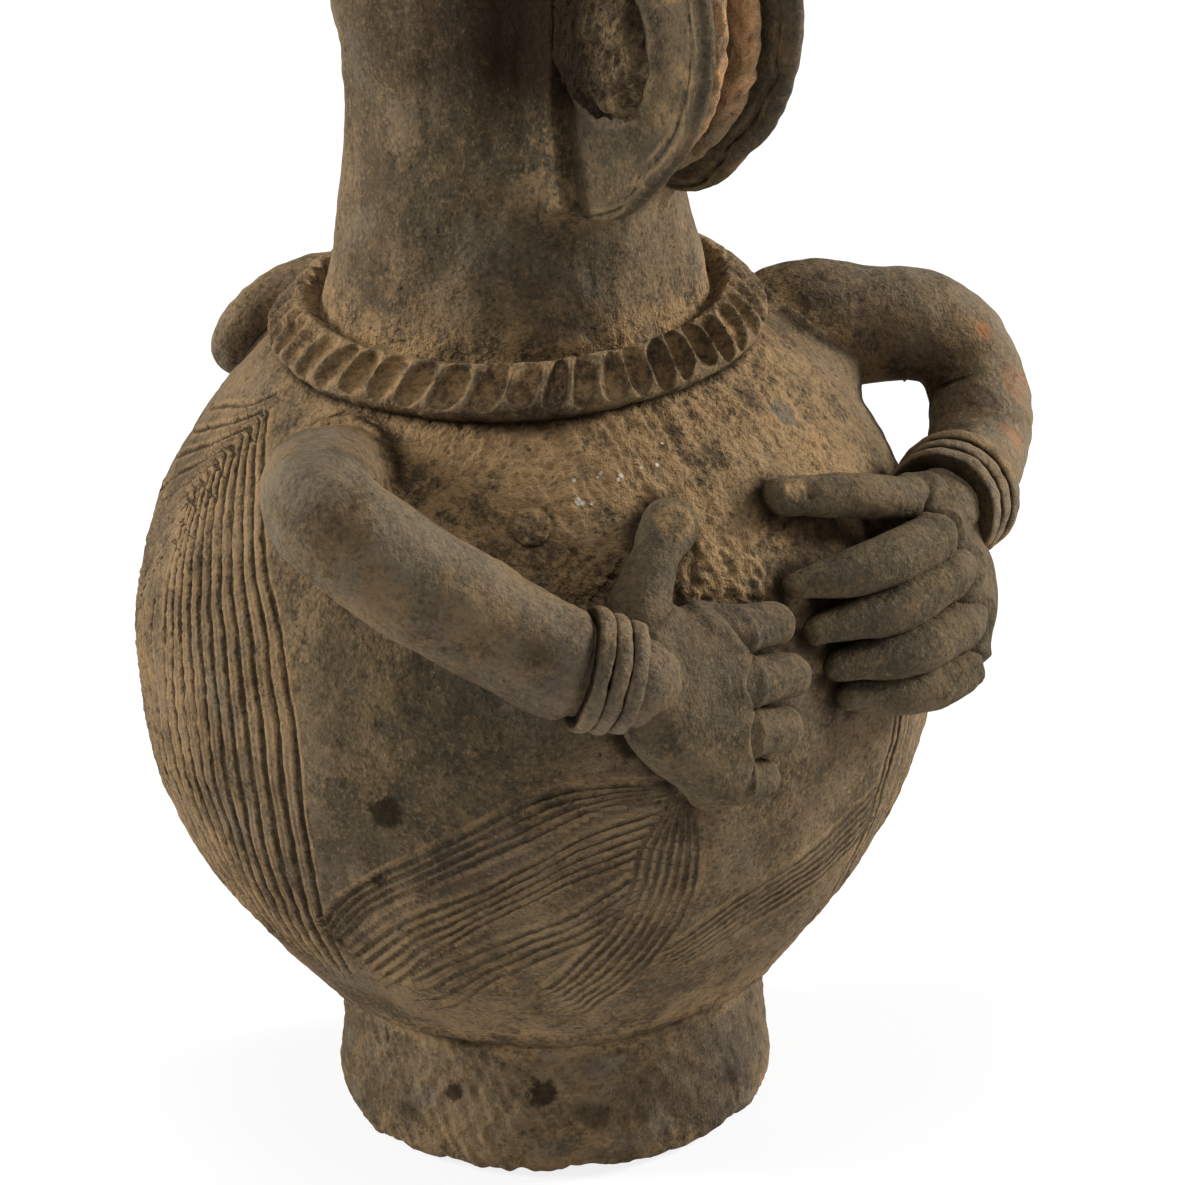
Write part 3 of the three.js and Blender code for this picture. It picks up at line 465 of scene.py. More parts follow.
def comb(azimuth, latitude, cross):
    """The phase across the fans of one layer, whole at each stroke, and the strokes' spacing.

    A place takes the ruling from a fan's first to its last stroke that passes nearest to it, and its share
    along that ruling. Away from the fan the spacing grows, so that the strokes thin out and end.
    """
    phase = np.full(azimuth.shape, 0.5)
    pitch = np.full(azimuth.shape, NO_PITCH)
    nearest = np.full(azimuth.shape, FAR)
    degree = math.radians(BELLY_RADIUS)
    for number, (first, last, amid) in enumerate(FANS):
        if (number in CROSS_FANS) != cross:
            continue
        count = amid + 1
        first, last = smooth_line(first, RULINGS), smooth_line(last, RULINGS)
        low, high = np.vstack([first, last]).min(0) - 4, np.vstack([first, last]).max(0) + 4
        inside = (azimuth > low[0]) & (azimuth < high[0]) & (latitude > low[1]) & (latitude < high[1])
        across, along = azimuth[inside], latitude[inside]
        best, share, wide = np.full(across.shape, FAR), np.zeros(across.shape), np.ones(across.shape)
        for start, stop in zip(first, last):
            stretch = math.cos(math.radians((start[1] + stop[1]) / 2))
            ruling = (stop - start) * (stretch, 1)
            length = ruling @ ruling
            step = (across - start[0]) * stretch, along - start[1]
            part = (step[0] * ruling[0] + step[1] * ruling[1]) / length
            part = np.clip(part, -0.5 / count, 1 + 0.5 / count)
            off = np.hypot(step[0] - part * ruling[0], step[1] - part * ruling[1])
            closer = off < best
            best, share = np.where(closer, off, best), np.where(closer, part, share)
            wide = np.where(closer, math.sqrt(length), wide)
        spacing = wide * degree / count + 30 * ease(best * degree, 0.8, 6)
        closer = best < nearest[inside]
        nearest[inside] = np.where(closer, best, nearest[inside])
        phase[inside] = np.where(closer, share * count, phase[inside])
        pitch[inside] = np.where(closer, spacing, pitch[inside])
    return phase, pitch


# What a surface remembers for its material: distance to a scratch, crust of earth, dust, soot and
# painted shade, wear, and the phase and pitch of the two layers of fans

MARK_DEFAULTS = {
    "scratch": STROKE_REACH, "crust": 0.0, "dust": 0.0, "soot": 0.0, "rubbed": 0.0,
    "phase_long": 0.5, "pitch_long": NO_PITCH, "phase_cross": 0.5, "pitch_cross": NO_PITCH,
}

# Grids and meshes


def grid_steps(grid, closed_rows):
    """Central differences of a grid along its rows and round its columns."""
    across = np.roll(grid, -1, 1) - np.roll(grid, 1, 1)
    if closed_rows:
        return np.roll(grid, -1, 0) - np.roll(grid, 1, 0), across
    return np.gradient(grid, axis=0), across


def facing_out(grid, closed_rows=False):
    """The grid with its columns turned round if its normals would point inwards, judged by its volume."""
    along, across = grid_steps(grid, closed_rows)
    volume = (np.cross(along, across) * (grid - grid.mean((0, 1)))).sum()
    return grid if volume > 0 else grid[:, ::-1]


def normals(grid, closed_rows=False):
    """Unit normals of a grid that faces out."""
    along, across = grid_steps(grid, closed_rows)
    return unit(np.cross(along, across))


def moved(grid, distance, closed_rows=False):
    """The grid pushed along its normals."""
    return grid + normals(grid, closed_rows) * np.asarray(distance)[..., None]


def make_piece(name, grid, material, marks=None, closed_rows=False):
    """A closed mesh from a grid of points: columns always join up, and open rows end in a pole each."""
    rows, columns = grid.shape[:2]
    points = grid.reshape(-1, 3)
    row = np.arange(rows if closed_rows else rows - 1)[:, None] * columns
    column = np.arange(columns)[None, :]
    ahead = (column + 1) % columns
    above = (row + columns) % (rows * columns)
    quads = np.stack([row + column, above + column, above + ahead, row + ahead], -1).reshape(-1, 4)
    corners = quads.ravel()
    starts = np.arange(len(quads)) * 4
    if not closed_rows:
        poles = np.stack([grid[0].mean(0), grid[-1].mean(0)])
        points = np.vstack([points, poles])
        low, high = rows * columns, rows * columns + 1
        side, last = column[0], (rows - 1) * columns
        bottom = np.stack([np.full(columns, low), side, (side + 1) % columns], -1)
        top = np.stack([np.full(columns, high), last + (side + 1) % columns, last + side], -1)
        fans = np.concatenate([bottom, top]).ravel()
        starts = np.concatenate([starts, len(corners) + np.arange(2 * columns) * 3])
        corners = np.concatenate([corners, fans])
    mesh = bpy.data.meshes.new(name)
    mesh.vertices.add(len(points))
    mesh.vertices.foreach_set("co", (points * MM).astype(np.float32).ravel())
    mesh.loops.add(len(corners))
    mesh.loops.foreach_set("vertex_index", corners.astype(np.int32))
    mesh.polygons.add(len(starts))
    mesh.polygons.foreach_set("loop_start", starts.astype(np.int32))
    mesh.update(calc_edges=True)
    mesh.polygons.foreach_set("use_smooth", np.ones(len(starts), bool))
    for key in MARK_DEFAULTS:
        values = np.broadcast_to((marks or {}).get(key, MARK_DEFAULTS[key]), (rows, columns)).ravel()
        if not closed_rows:
            ends = [values[:columns].mean(), values[-columns:].mean()]
            values = np.concatenate([values, ends])
        mesh.attributes.new(key, "FLOAT", "POINT").data.foreach_set("value", values.astype(np.float32))
    piece = bpy.data.objects.new(name, mesh)
    bpy.context.scene.collection.objects.link(piece)
    mesh.materials.append(material)
    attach(piece, "root")
    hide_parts(name.removesuffix("_clay"))
    return piece


def shape():
    """The sizes that a user may change, in the scene's property group."""
    return bpy.context.scene.jar_shape


def uneven(points, seed=1):
    """Hand-built unevenness in three sizes of lump, in millimetres."""
    wide = 0.55 * lumps(points, 75, seed) + 0.35 * lumps(points, 30, seed + 1)
    fine = 0.16 * lumps(points, 11, seed + 2) + 0.08 * lumps(points, 5.5, seed + 3)
    return (wide + fine) * shape().unevenness / MM


def turned(profile, azimuths):
    """A surface of revolution: each radius and height of the profile carried round the azimuths."""
    radius, height = np.asarray(profile, float).T
    turn = np.radians(azimuths)[None, :]
    return np.stack([
        radius[:, None] * np.sin(turn),
        -radius[:, None] * np.cos(turn),
        np.broadcast_to(height[:, None], (len(radius), len(azimuths))),
    ], -1)


FRONT_AZIMUTH = -35.0
CROWDING = 0.33


def azimuths(count):
    """Azimuths all round, closest where the decoration is: an even turn less a third of its sine."""
    even = full_turn(count)
    return np.degrees(even - CROWDING * np.sin(even)) + FRONT_AZIMUTH


def tube(line, around, dome=9):
    """A roll with domed ends: circles round a middle line, shrinking as a quarter circle at each end."""
    centre, radius = line[:, :3], line[:, 3]
    tangent = unit(np.gradient(centre, axis=0))
    angle = np.linspace(0, math.pi / 2, dome + 1)[1:] * 0.985

    def end(place, way):
        depth = radius[place] * np.sin(angle)
        at = centre[place] + way * tangent[place] * depth[:, None]
        return at, radius[place] * np.cos(angle), np.repeat(tangent[place][None], dome, 0)

    start, finish = end(0, -1), end(-1, 1)
    centre = np.vstack([start[0][::-1], centre, finish[0]])
    radius = np.concatenate([start[1][::-1], radius, finish[1]])
    tangent = np.vstack([start[2], tangent, finish[2]])
    out = centre - BELLY_MIDDLE
    across = unit(np.cross(tangent, out))
    lift = np.cross(across, tangent)
    turn = full_turn(around)
    ring = across[:, None] * np.cos(turn)[None, :, None] + lift[:, None] * np.sin(turn)[None, :, None]
    return centre[:, None] + radius[:, None, None] * ring


def ball(at, size, turn=0.0, tilt=0.0, rows=60, columns=90):
    """A stretched ball: latitude by longitude, scaled on three axes, tilted about X and turned about Z."""
    rise = np.linspace(-math.pi / 2, math.pi / 2, rows + 2)[1:-1, None]
    go = full_turn(columns)[None, :]
    form = np.stack([np.cos(rise) * np.cos(go), np.cos(rise) * np.sin(go), np.sin(rise) + 0 * go], -1)
    form = form * np.asarray(size, float)
    spin = Matrix.Rotation(math.radians(turn), 3, "Z") @ Matrix.Rotation(math.radians(tilt), 3, "X")
    return facing_out(form @ np.array(spin).T + np.asarray(at, float))


# Shader wiring

SPOT_EDGE = 2.4
SPOT_CORE = 1.9


class Socket:
    """A shader socket that adds Math nodes when it is used in an expression."""

    def __init__(self, bench, socket):
        self.bench = bench
        self.socket = socket

    def math(self, operation, *values):
        return self.bench.node("ShaderNodeMath", {"operation": operation}, dict(enumerate((self, *values))))

    def __add__(self, other):
        return self.math("ADD", other)

    def __radd__(self, other):
        return self + other

    def __sub__(self, other):
        return self.math("SUBTRACT", other)

    def __rsub__(self, other):
        return self * -1.0 + other

    def __mul__(self, other):
        return self.math("MULTIPLY", other)

    def __rmul__(self, other):
        return self * other

    def __truediv__(self, other):
        return self.math("DIVIDE", other)

    def clamp(self):
        return self.math("MAXIMUM", 0.0).math("MINIMUM", 1.0)


class Bench:
    """The node tree of one material or of the world."""

    def __init__(self, owner):
        owner.use_nodes = True
        self.owner = owner
        self.tree = owner.node_tree
        self.tree.nodes.clear()
        self.place = self.node("ShaderNodeTexCoord", output="Object")

    def node(self, kind, settings=None, values=None, output=0):
        """Adds a node, makes its settings first, and then sets or links its sockets."""
        node = self.tree.nodes.new(kind)
        for key, value in (settings or {}).items():
            setattr(node, key, value)
        for key, value in (values or {}).items():
            if isinstance(value, Socket):
                self.tree.links.new(value.socket, node.inputs[key])
            else:
                node.inputs[key].default_value = value
        return Socket(self, node.outputs[output])

    def finish(self, surface, kind="ShaderNodeOutputMaterial"):
        """Links the surface to the output and returns the material or world."""
        out = self.tree.nodes.new(kind)
        self.tree.links.new(surface.socket, out.inputs["Surface"])
        return self.owner

    def seen(self):
        """1 for rays from the camera, from a mirror and through glass, 0 for light on the object."""
        rays = [self.node("ShaderNodeLightPath", output=name) for name in
                ("Is Camera Ray", "Is Glossy Ray", "Is Transmission Ray")]
        return (rays[0] + rays[1] + rays[2]).clamp()

    def noise(self, size, detail=3.0, roughness=0.55, shift=0.0):
        """Noise whose lumps are about size millimetres."""
        where = self.place
        if shift:
            values = {0: where, 1: (shift, shift, shift)}
            where = self.node("ShaderNodeVectorMath", {"operation": "ADD"}, values)
        values = {"Vector": where, "Scale": 0.6 / (size * MM), "Detail": detail, "Roughness": roughness}
        return self.node("ShaderNodeTexNoise", {}, values, "Fac")

    def mark(self, name):
        """A value that the mesh remembers at its points."""
        return self.node("ShaderNodeAttribute", {"attribute_name": name}, output="Fac")

    def ease(self, value, low, high):
        """0 at low, 1 at high, smooth between."""
        values = {"Value": value, "From Min": low, "From Max": high}
        return self.node("ShaderNodeMapRange", {"interpolation_type": "SMOOTHSTEP"}, values)

    def blend(self, mask, under, over):
        """One colour over another where the mask is 1."""
        return self.node("ShaderNodeMix", {"data_type": "RGBA"}, {0: mask, 6: under, 7: over}, 2)

    def ruled(self, layer, waver):
        """Distance in millimetres from the nearest stroke of one layer of fans."""
        phase = self.mark("phase_" + layer) + waver + 0.5
        return (phase.math("FRACT") - 0.5).math("ABSOLUTE") * self.mark("pitch_" + layer)

    def spot(self, centre, radius, ragged):
        """A round spot of about a radius about a place, with an edge as ragged as the noise."""
        values = {0: self.place, 1: tuple(float(value) * MM for value in centre)}
        far = self.node("ShaderNodeVectorMath", {"operation": "DISTANCE"}, values, "Value")
        edge, core = radius * SPOT_EDGE, radius * SPOT_CORE
        return self.ease(far / MM + ragged * edge, edge, core)


def rgba(colour):
    """A property colour as the four numbers that a shader socket takes."""
    return (colour[0], colour[1], colour[2], 1.0)


# Noises in the clay: size in millimetres, detail, roughness and shift

CLOUDS = (58, 3, 0.5)
PATCHES = (19, 4, 0.56, 0.3)
MOTTLES = (5.5, 4, 0.62, 0.7)
SPECKS = (1.9, 4, 0.66, 1.9)
GRAINS = (0.8, 3, 0.66, 1.1)
IRONS = (12, 5, 0.64, 2.7)
WEAR = (11, 4, 0.6, 3.3)
BREAKS = (9, 4, 0.62, 4.1)
WAVER = (14, 2, 0.5, 5.3)

# How strongly spots cover the clay: soft ones lie under the dust and grains, hard ones over them

SOFT_SPOTS = {"cloud": 0.85, "iron": 0.6}
HARD_SPOTS = 0.8
SPECULAR = 0.04


def fired_clay(name, base="body", worn_tone="rubbed", dusty=0.3, grey=0.3, red=0.15, crumbly=0.0,
               speckle=0.7, patchy=1.0, ruled=False, spots=()):
    """Low-fired clay: clouds and patches of tone, dark and light grains, pale dust and black scratches."""
    tones = bpy.context.scene.jar_clay
    bench = Bench(bpy.data.materials.new(name))
    cloud, patch, mottle = bench.noise(*CLOUDS), bench.noise(*PATCHES), bench.noise(*MOTTLES)
    speck, grain = bench.noise(*SPECKS), bench.noise(*GRAINS)
    scratch, crust, dust = bench.mark("scratch"), bench.mark("crust"), bench.mark("dust")
    soot, rubbed = bench.mark("soot"), bench.mark("rubbed")
    clotted = patch * 0.3 + mottle * 0.4 + speck * 0.3
    fine = (grain - 0.5) * 0.3

    patched = bench.ease(patch + fine, 0.4, 0.64) * patchy
    colour = bench.blend(patched, rgba(getattr(tones, base)), rgba(tones.pale))
    smoke = bench.ease(cloud + (mottle - 0.5) * 0.4, 0.6 - 0.22 * grey, 0.74 - 0.16 * grey)
    colour = bench.blend(smoke * 0.8, colour, rgba(tones.smoke))
    iron = bench.ease(bench.noise(*IRONS) + fine, 0.76 - 0.2 * red, 0.86 - 0.16 * red)
    colour = bench.blend(iron * 0.8, colour, rgba(tones.iron))
    for kind, places in spots:
        for place, radius in places if kind in SOFT_SPOTS else ():
            spot = bench.spot(place, radius, mottle) * SOFT_SPOTS[kind]
            colour = bench.blend(spot, colour, rgba(getattr(tones, kind)))
    clods = bench.ease(clotted + fine * 0.6 + crust * 0.035, 0.42, 0.58)
    earth = (dust + crust * 0.52 + dusty * 0.4).clamp() * clods
    colour = bench.blend((earth * 0.85).clamp(), colour, rgba(tones.dust))
    worn = rubbed * bench.ease(bench.noise(*WEAR) + fine, 0.38, 0.62)
    colour = bench.blend((worn * 0.75).clamp(), colour, rgba(getattr(tones, worn_tone)))
    # Soot spots, and painted shade wherever a piece sets this mark: corners, under rolls, beside the jaw
    colour = bench.blend((soot * (0.75 + mottle * 0.7)).clamp(), colour, rgba(tones.soot))
    dark = bench.ease(grain, 0.47, 0.33) * 0.5 + bench.ease(speck, 0.43, 0.3) * (0.55 + crumbly * 0.4)
    dark = dark + bench.ease(mottle, 0.4, 0.28) * 0.3
    colour = bench.blend((dark * (speckle - crust * 0.12)).clamp(), colour, rgba(tones.pit))
    light = bench.ease(grain, 0.55, 0.7) * (0.35 + crust * 0.2) + bench.ease(speck, 0.6, 0.72) * 0.4
    colour = bench.blend((light * speckle * (1 - soot * 0.9)).clamp(), colour, rgba(tones.dust))

    broken = bench.noise(*BREAKS)
    if ruled:
        waver = (bench.noise(*WAVER) - 0.5) * 0.5
        for layer in ("long", "cross"):
            scratch = scratch.math("MINIMUM", bench.ruled(layer, waver))
    groove = bench.ease(scratch + (speck - 0.5) * 0.8, shape().stroke_width / MM, 0.2)
    # lit: a painted highlight, a pale band in the dust tone along both edges of each scratch
    lit = bench.ease(scratch, 2.9, 1.9) * bench.ease(scratch, 1.0, 1.7) * bench.ease(broken, 0.36, 0.6)
    colour = bench.blend(lit * 0.3, colour, rgba(tones.dust))
    black = groove * (0.28 + bench.ease(broken, 0.4, 0.6) * 0.5)
    colour = bench.blend(black * 0.8, colour, rgba(tones.pit))
    for kind, places in spots:
        for place, radius in () if kind in SOFT_SPOTS else places:
            spot = bench.spot(place, radius, speck) * HARD_SPOTS
            colour = bench.blend(spot, colour, rgba(getattr(tones, kind)))

    rough_skin = 0.55 + crust * 0.9 + crumbly * 1.6
    height = (grain - 0.5) * 0.7 * rough_skin + (speck - 0.5) * 1.4 * rough_skin + (mottle - 0.5) * 1.2
    height = height - groove * (shape().stroke_depth / MM) * 0.5
    normal = bench.node("ShaderNodeBump", {}, {"Strength": 1.0, "Distance": MM, "Height": height})
    roughness = 0.86 - worn * 0.2 + crust * 0.1
    values = {"Base Color": colour, "Roughness": roughness.clamp(), "Normal": normal,
              "Specular IOR Level": SPECULAR}
    return bench.finish(bench.node("ShaderNodeBsdfPrincipled", {}, values, "BSDF"))


# Surfaces of the pot

BELLY_COLUMNS = 720
BELLY_ROWS = 112
BELLY_INNER_ROWS = 12
NECK_COLUMNS = 420
NECK_ROWS = 120
NECK_INNER_ROWS = 14
RIM_COLUMNS = 360
FOOT_COLUMNS = 560
NIPPLE_COLUMNS = 90
SEAM_LAP = 1.5
SEAM_SINK = 0.7
SHOULDER_LATITUDE = math.degrees(math.asin((SHOULDER_HEIGHT - BELLY_CENTRE) / BELLY_RADIUS))
NECKLACE_RADIUS = NECK_BASE_RADIUS + 5.8
NECKLACE_HEIGHT = SHOULDER_HEIGHT + 4.6
LUG_AT = on_belly(178.0, 32.4, 11.6)


def off_necklace(points):
    """Distance of points from the notched coil, taken as a flat strip turned 45 degrees."""
    out = np.hypot(points[..., 0], points[..., 1]) - NECKLACE_RADIUS
    up = points[..., 2] - NECKLACE_HEIGHT
    wide = np.abs(out - up) * math.sqrt(0.5) - NECKLACE_WIDE + 0.8
    thick = np.abs(out + up) * math.sqrt(0.5) - NECKLACE_THICK + 0.8
    return np.hypot(np.maximum(wide, 0), np.maximum(thick, 0)) + np.minimum(np.maximum(wide, thick), 0)


def belly_relief(points):
    """How far the belly's skin stands out at points on its plain form.

    Uneven clay, plus earth crust on the chest, plus clay smeared up to everything that is luted on,
    less the depth of the scratches. Returns the relief and the marks for the material.
    """
    azimuth, latitude = belly_angles(points)
    lines = [ROLLS[side + "_arm"] for side in SIDES]
    roots = closest(off_line(points, line[:ARM_ROOT], 22) for line in lines)
    arms = closest(off_line(points, line[ARM_ROOT:], 22) for line in lines)
    digits = closest(off_line(points, ROLLS[name], 7) for name in DIGITS)
    palms = closest(pad.off(points) for pad in PADS.values())
    lug = (np.linalg.norm((points - LUG_AT) / (27, 19, 22), axis=-1) - 1) * 20
    foot = np.hypot(np.hypot(points[..., 0], points[..., 1]) - FOOT_TOP_RADIUS, points[..., 2] - FOOT_TOP)
    necklace = off_necklace(points)
    joints = np.maximum.reduce([
        smear(arms, 4 + 15 * ease(latitude, 27, 37)),
        smear(roots, 7.0),
        smear(lug, 12.0),
        smear(digits, 3.0),
        smear(palms, 2.4),
        smear(necklace, 1.2),
        smear(foot, 2.5),
    ])
    off_middle = np.abs(azimuth - DECORATED_MIDDLE)
    chest = ease(latitude, 20, 34) * ease(off_middle, 78, 50)
    patches = ease(lumps(points, 34, 21), -0.6, 0.9)
    crust = np.clip(chest * (0.5 + 0.5 * patches) + 0.4 * ease(latitude, 34, 48), 0, 1)
    crust = np.maximum(crust, 0.8 * ease(necklace, 9, 2))
    rough = np.zeros(crust.shape)
    for middle_azimuth, middle_latitude, size in ROUGH_PATCHES:
        beside = (azimuth - middle_azimuth) * np.cos(np.radians(latitude))
        away = np.hypot(beside, latitude - middle_latitude)
        rough = np.maximum(rough, ease(away, size * 1.2, size * 0.5))
    crust = np.maximum.reduce([crust, 0.3 * patches, rough])
    scratch = off_strokes(points)
    gritty = 0.24 * lumps(points, 3.4, 31) + 0.24 * lumps(points, 6.5, 32)
    side = ease(off_middle, 38, 52)
    rows = {"long": comb(azimuth, latitude, False), "cross": comb(azimuth, latitude, True)}
    gap = closest(np.abs((phase + 0.5) % 1 - 0.5) * pitch for phase, pitch in rows.values())
    ridge = ease(gap, 2.2, 1.5) * ease(gap, 0.8, 1.5)
    relief = uneven(points) + (crust + rough) * gritty + joints
    relief = relief - side * ease(gap, 1.5, 0.1) * shape().stroke_depth / MM + ridge * 0.3 * side
    relief = relief - 0.4 * ease(scratch, 1.5, 0.2)
    arms = np.minimum(arms, roots)
    clear = closest([arms, digits, palms, lug])
    # Painted shade: round the arms, hands and lug, at the necklace's lower edge, and under the belly
    soot = np.maximum.reduce([
        0.9 * ease(clear, 6.0, 0.8) * ease(lumps(points, 9, 41), -1.6, 0.2) * ease(arms, -1, 2),
        ease(necklace, 3.2, 0.6) * 0.9,
        0.5 * ease(latitude, -50, -60),
    ])
    dust = 0.5 * ease(foot, 11, 3) + 0.2 * ease(latitude, -25, -55) + 0.3 * chest
    rubbed = ease(lumps(points, 42, 51), 0.2, 1.5) * 0.6 * (1 - crust)
    dust = dust + 0.5 * ridge * side
    marks = {"scratch": scratch, "crust": crust, "soot": soot, "dust": dust, "rubbed": rubbed}
    for layer, (phase, pitch) in rows.items():
        marks["phase_" + layer], marks["pitch_" + layer] = phase, pitch
    return relief, marks


def belly_shell(latitudes, inner_latitudes, closed_rows, name, seam_side):
    """A band of the belly: the outside from one latitude to another, then back along the inside.

    Past the seam at latitude 0 the skin sinks with the square of the way gone, so it slips under the
    other band's skin.
    """
    reach = np.concatenate([belly_reach(latitudes), belly_reach(inner_latitudes) - BELLY_WALL])
    rise = np.radians(np.concatenate([latitudes, inner_latitudes]))
    profile = np.column_stack([reach * np.cos(rise), BELLY_CENTRE + reach * np.sin(rise)])
    base = facing_out(turned(profile, azimuths(BELLY_COLUMNS)), closed_rows)
    outer = len(latitudes)
    relief, marks = belly_relief(base[:outer])
    past = np.clip(seam_side * latitudes / SEAM_LAP, 0, 1)
    relief = relief - (SEAM_SINK * past**2)[:, None]
    out = unit(base - BELLY_MIDDLE)
    lift = np.concatenate([relief, 0.6 * uneven(base[outer:], 7) - 0.4])
    marks = {key: np.concatenate([marks[key], np.full(base[outer:].shape[:2], plain)])
             for key, plain in MARK_DEFAULTS.items()}
    return make_piece(name, base + out * lift[..., None], clay("pot"), marks, closed_rows)


def necked(name, low, high, lap_low, lap_high):
    """A band of the neck or head: its outside from low to high, then back down the inside as a ring."""
    start, stop = low - lap_low, high + lap_high
    outside = np.linspace(start, stop, NECK_ROWS)
    inside = np.linspace(stop - 0.5, start + 0.5, NECK_INNER_ROWS)
    radius = np.concatenate([neck_radius(outside), neck_radius(inside) - NECK_WALL])
    profile = np.column_stack([radius, np.concatenate([outside, inside])])
    base = facing_out(turned(profile, azimuths(NECK_COLUMNS)), True)
    skin, back = base[:NECK_ROWS], base[NECK_ROWS:]
    plates = closest(off_plate(skin, way) for way in (-1, 1))
    lump = closest(from_lump(skin, way) for way in (-1, 1))
    streaks = 0.1 * lumps(skin * (1, 1, 0.3), 6.5, 61) + 0.25 * lumps(skin * (1, 1, 0.6), 16, 62)
    necklace = off_necklace(skin)
    beside = np.maximum(smear(plates, 15.0), smear((lump - 1) * 11, 9.0))
    relief = uneven(skin, 16) + streaks + np.maximum(beside, smear(necklace, 3.0))
    past = np.clip((outside - high) / max(lap_high, 0.1), 0, 1)
    past = past + np.clip((low - outside) / max(lap_low, 0.1), 0, 1)
    relief = relief - (SEAM_SINK * past**2)[:, None]
    crust = 0.9 * ease(necklace, 13, 2) + 0.3 * ease(lumps(skin, 30, 63), 0, 1.2)
    zeros = np.zeros(back.shape[:2])
    # Painted shade on the upper neck round the jaw's half discs, stored in the soot mark
    shadow = 0.45 * ease(plates, 44, 22) + 0.55 * ease(plates, 25, 7)
    shadow = shadow * ease(skin[..., 2], JAW_HEIGHT - 55, JAW_HEIGHT - 15)
    dust = 0.5 * ease(necklace, 20, 4) + 0.4 * ease(plates, 12, 2) * (1 - shadow)
    rubbed = 0.5 * ease(lumps(skin, 36, 64), 0.3, 1.5)
    marks = {"crust": crust, "soot": shadow, "dust": dust, "rubbed": rubbed}
    marks = {key: np.concatenate([values, zeros]) for key, values in marks.items()}
    grid = np.concatenate([moved(skin, relief), moved(back, 0.5 * uneven(back, 8) - 0.4)])
    return make_piece(name, grid, clay("pot"), marks, True)


JAW_HEIGHT = (low_corner("right_jaw_plate")[2] + high_corner("right_jaw_plate")[2]) / 2
JAW_RADIUS = (high_corner("right_jaw_plate")[2] - low_corner("right_jaw_plate")[2]) / 2
JAW_FORWARD = -low_corner("right_jaw_plate")[1] - JAW_RADIUS
PLATE_X = (low_corner("left_jaw_plate")[0] + high_corner("left_jaw_plate")[0]) / 2
PLATE_HALF = (high_corner("left_jaw_plate")[0] - low_corner("left_jaw_plate")[0]) / 2
LUMP_SIZE = (high_corner("left_cheek_lump") - low_corner("left_cheek_lump")) / (1, 2, 2)
LUMP_AT = (high_corner("left_cheek_lump") + low_corner("left_cheek_lump")) / 2
LUMP_AT[0] = PLATE_X + PLATE_HALF


def from_lump(points, way):
    """Distance of points from the middle of a cheek lump, as a share of its size."""
    return np.linalg.norm((points - LUMP_AT * (way, 1, 1)) / LUMP_SIZE, axis=-1)


def from_jaw(points):
    """Distance of points from the half discs' axis, or from the level behind it."""
    return np.hypot(np.maximum(-points[..., 1] - JAW_FORWARD, 0), points[..., 2] - JAW_HEIGHT)


def off_plate(points, way):
    """Distance of points from one of the two upright half discs, taken as a flat box."""
    beside = np.abs(points[..., 0] - way * PLATE_X) - PLATE_HALF
    out = from_jaw(points) - JAW_RADIUS
    behind = JAW_FORWARD - PLATE_BACK + points[..., 1]
    return np.hypot(np.maximum(beside, 0), np.maximum(np.maximum(out, behind), 0)) + np.minimum(beside, 0)


def mouth_ring():
    """The rolled rim: a closed outline of steps out from the head's wall, smoothed and carried round."""
    loop = smooth_loop(RIM_OUTLINE, 8)
    height = HEAD_TOP - 0.6 + loop[:, 1] * (MOUTH_HEIGHT - HEAD_TOP)
    profile = np.column_stack([neck_radius(HEAD_TOP) + loop[:, 0], height])
    base = facing_out(turned(profile, azimuths(RIM_COLUMNS)), True)
    worn = lumps(base, 11, 71)
    loss = 0.35 * np.maximum(worn, 0) ** 2 * ease(base[..., 2], HEAD_TOP, MOUTH_HEIGHT)
    lift = 0.55 * uneven(base, 9) - 0.7 - loss
    marks = {"rubbed": 0.8 * ease(base[..., 2], MOUTH_HEIGHT - 8, MOUTH_HEIGHT - 1), "dust": 0.25}
    return make_piece("mouth_rim_clay", moved(base, lift, True), clay("pot"), marks, True)


def foot():
    """The ring foot: a waisted outline up the outside and down the inside, worn at its lower edge."""
    loop = smooth_loop(FOOT_OUTLINE, 8)
    profile = np.column_stack([loop[:, 0], np.maximum(loop[:, 1] * (FOOT_TOP - 3.4), 0.35)])
    base = facing_out(turned(profile, azimuths(FOOT_COLUMNS)), True)
    up = base[..., 2]
    low = ease(up, 9, 1)
    lift = uneven(base, 11) - 0.5 + 0.45 * lumps(base, 9, 72) * ease(up, 2, 12) * low
    lift = lift + 0.25 * lumps(base, 4.5, 73)
    grid = moved(base, lift, True)
    chipped = np.maximum(lumps(base * (1, 1, 0.3), 15, 74), 0) * 1.6 * low
    grid[..., 2] = np.clip(grid[..., 2] + chipped * ease(up, 4, 0.3), 0.0, None)
    marks = {
        "dust": 0.35 * ease(up, 24, 4) + 0.4 * ease(up, FOOT_TOP - 12, FOOT_TOP - 5),
        "crust": 0.35 * ease(lumps(base, 18, 75), 0, 1.3),
        "rubbed": 0.8 * ease(lumps(base, 16, 76), 0.1, 1.2),
        "soot": 0.5 * ease(lumps(base, 20, 77), 0.9, 1.8),
    }
    return make_piece("foot_ring_clay", grid, clay("foot"), marks, True)


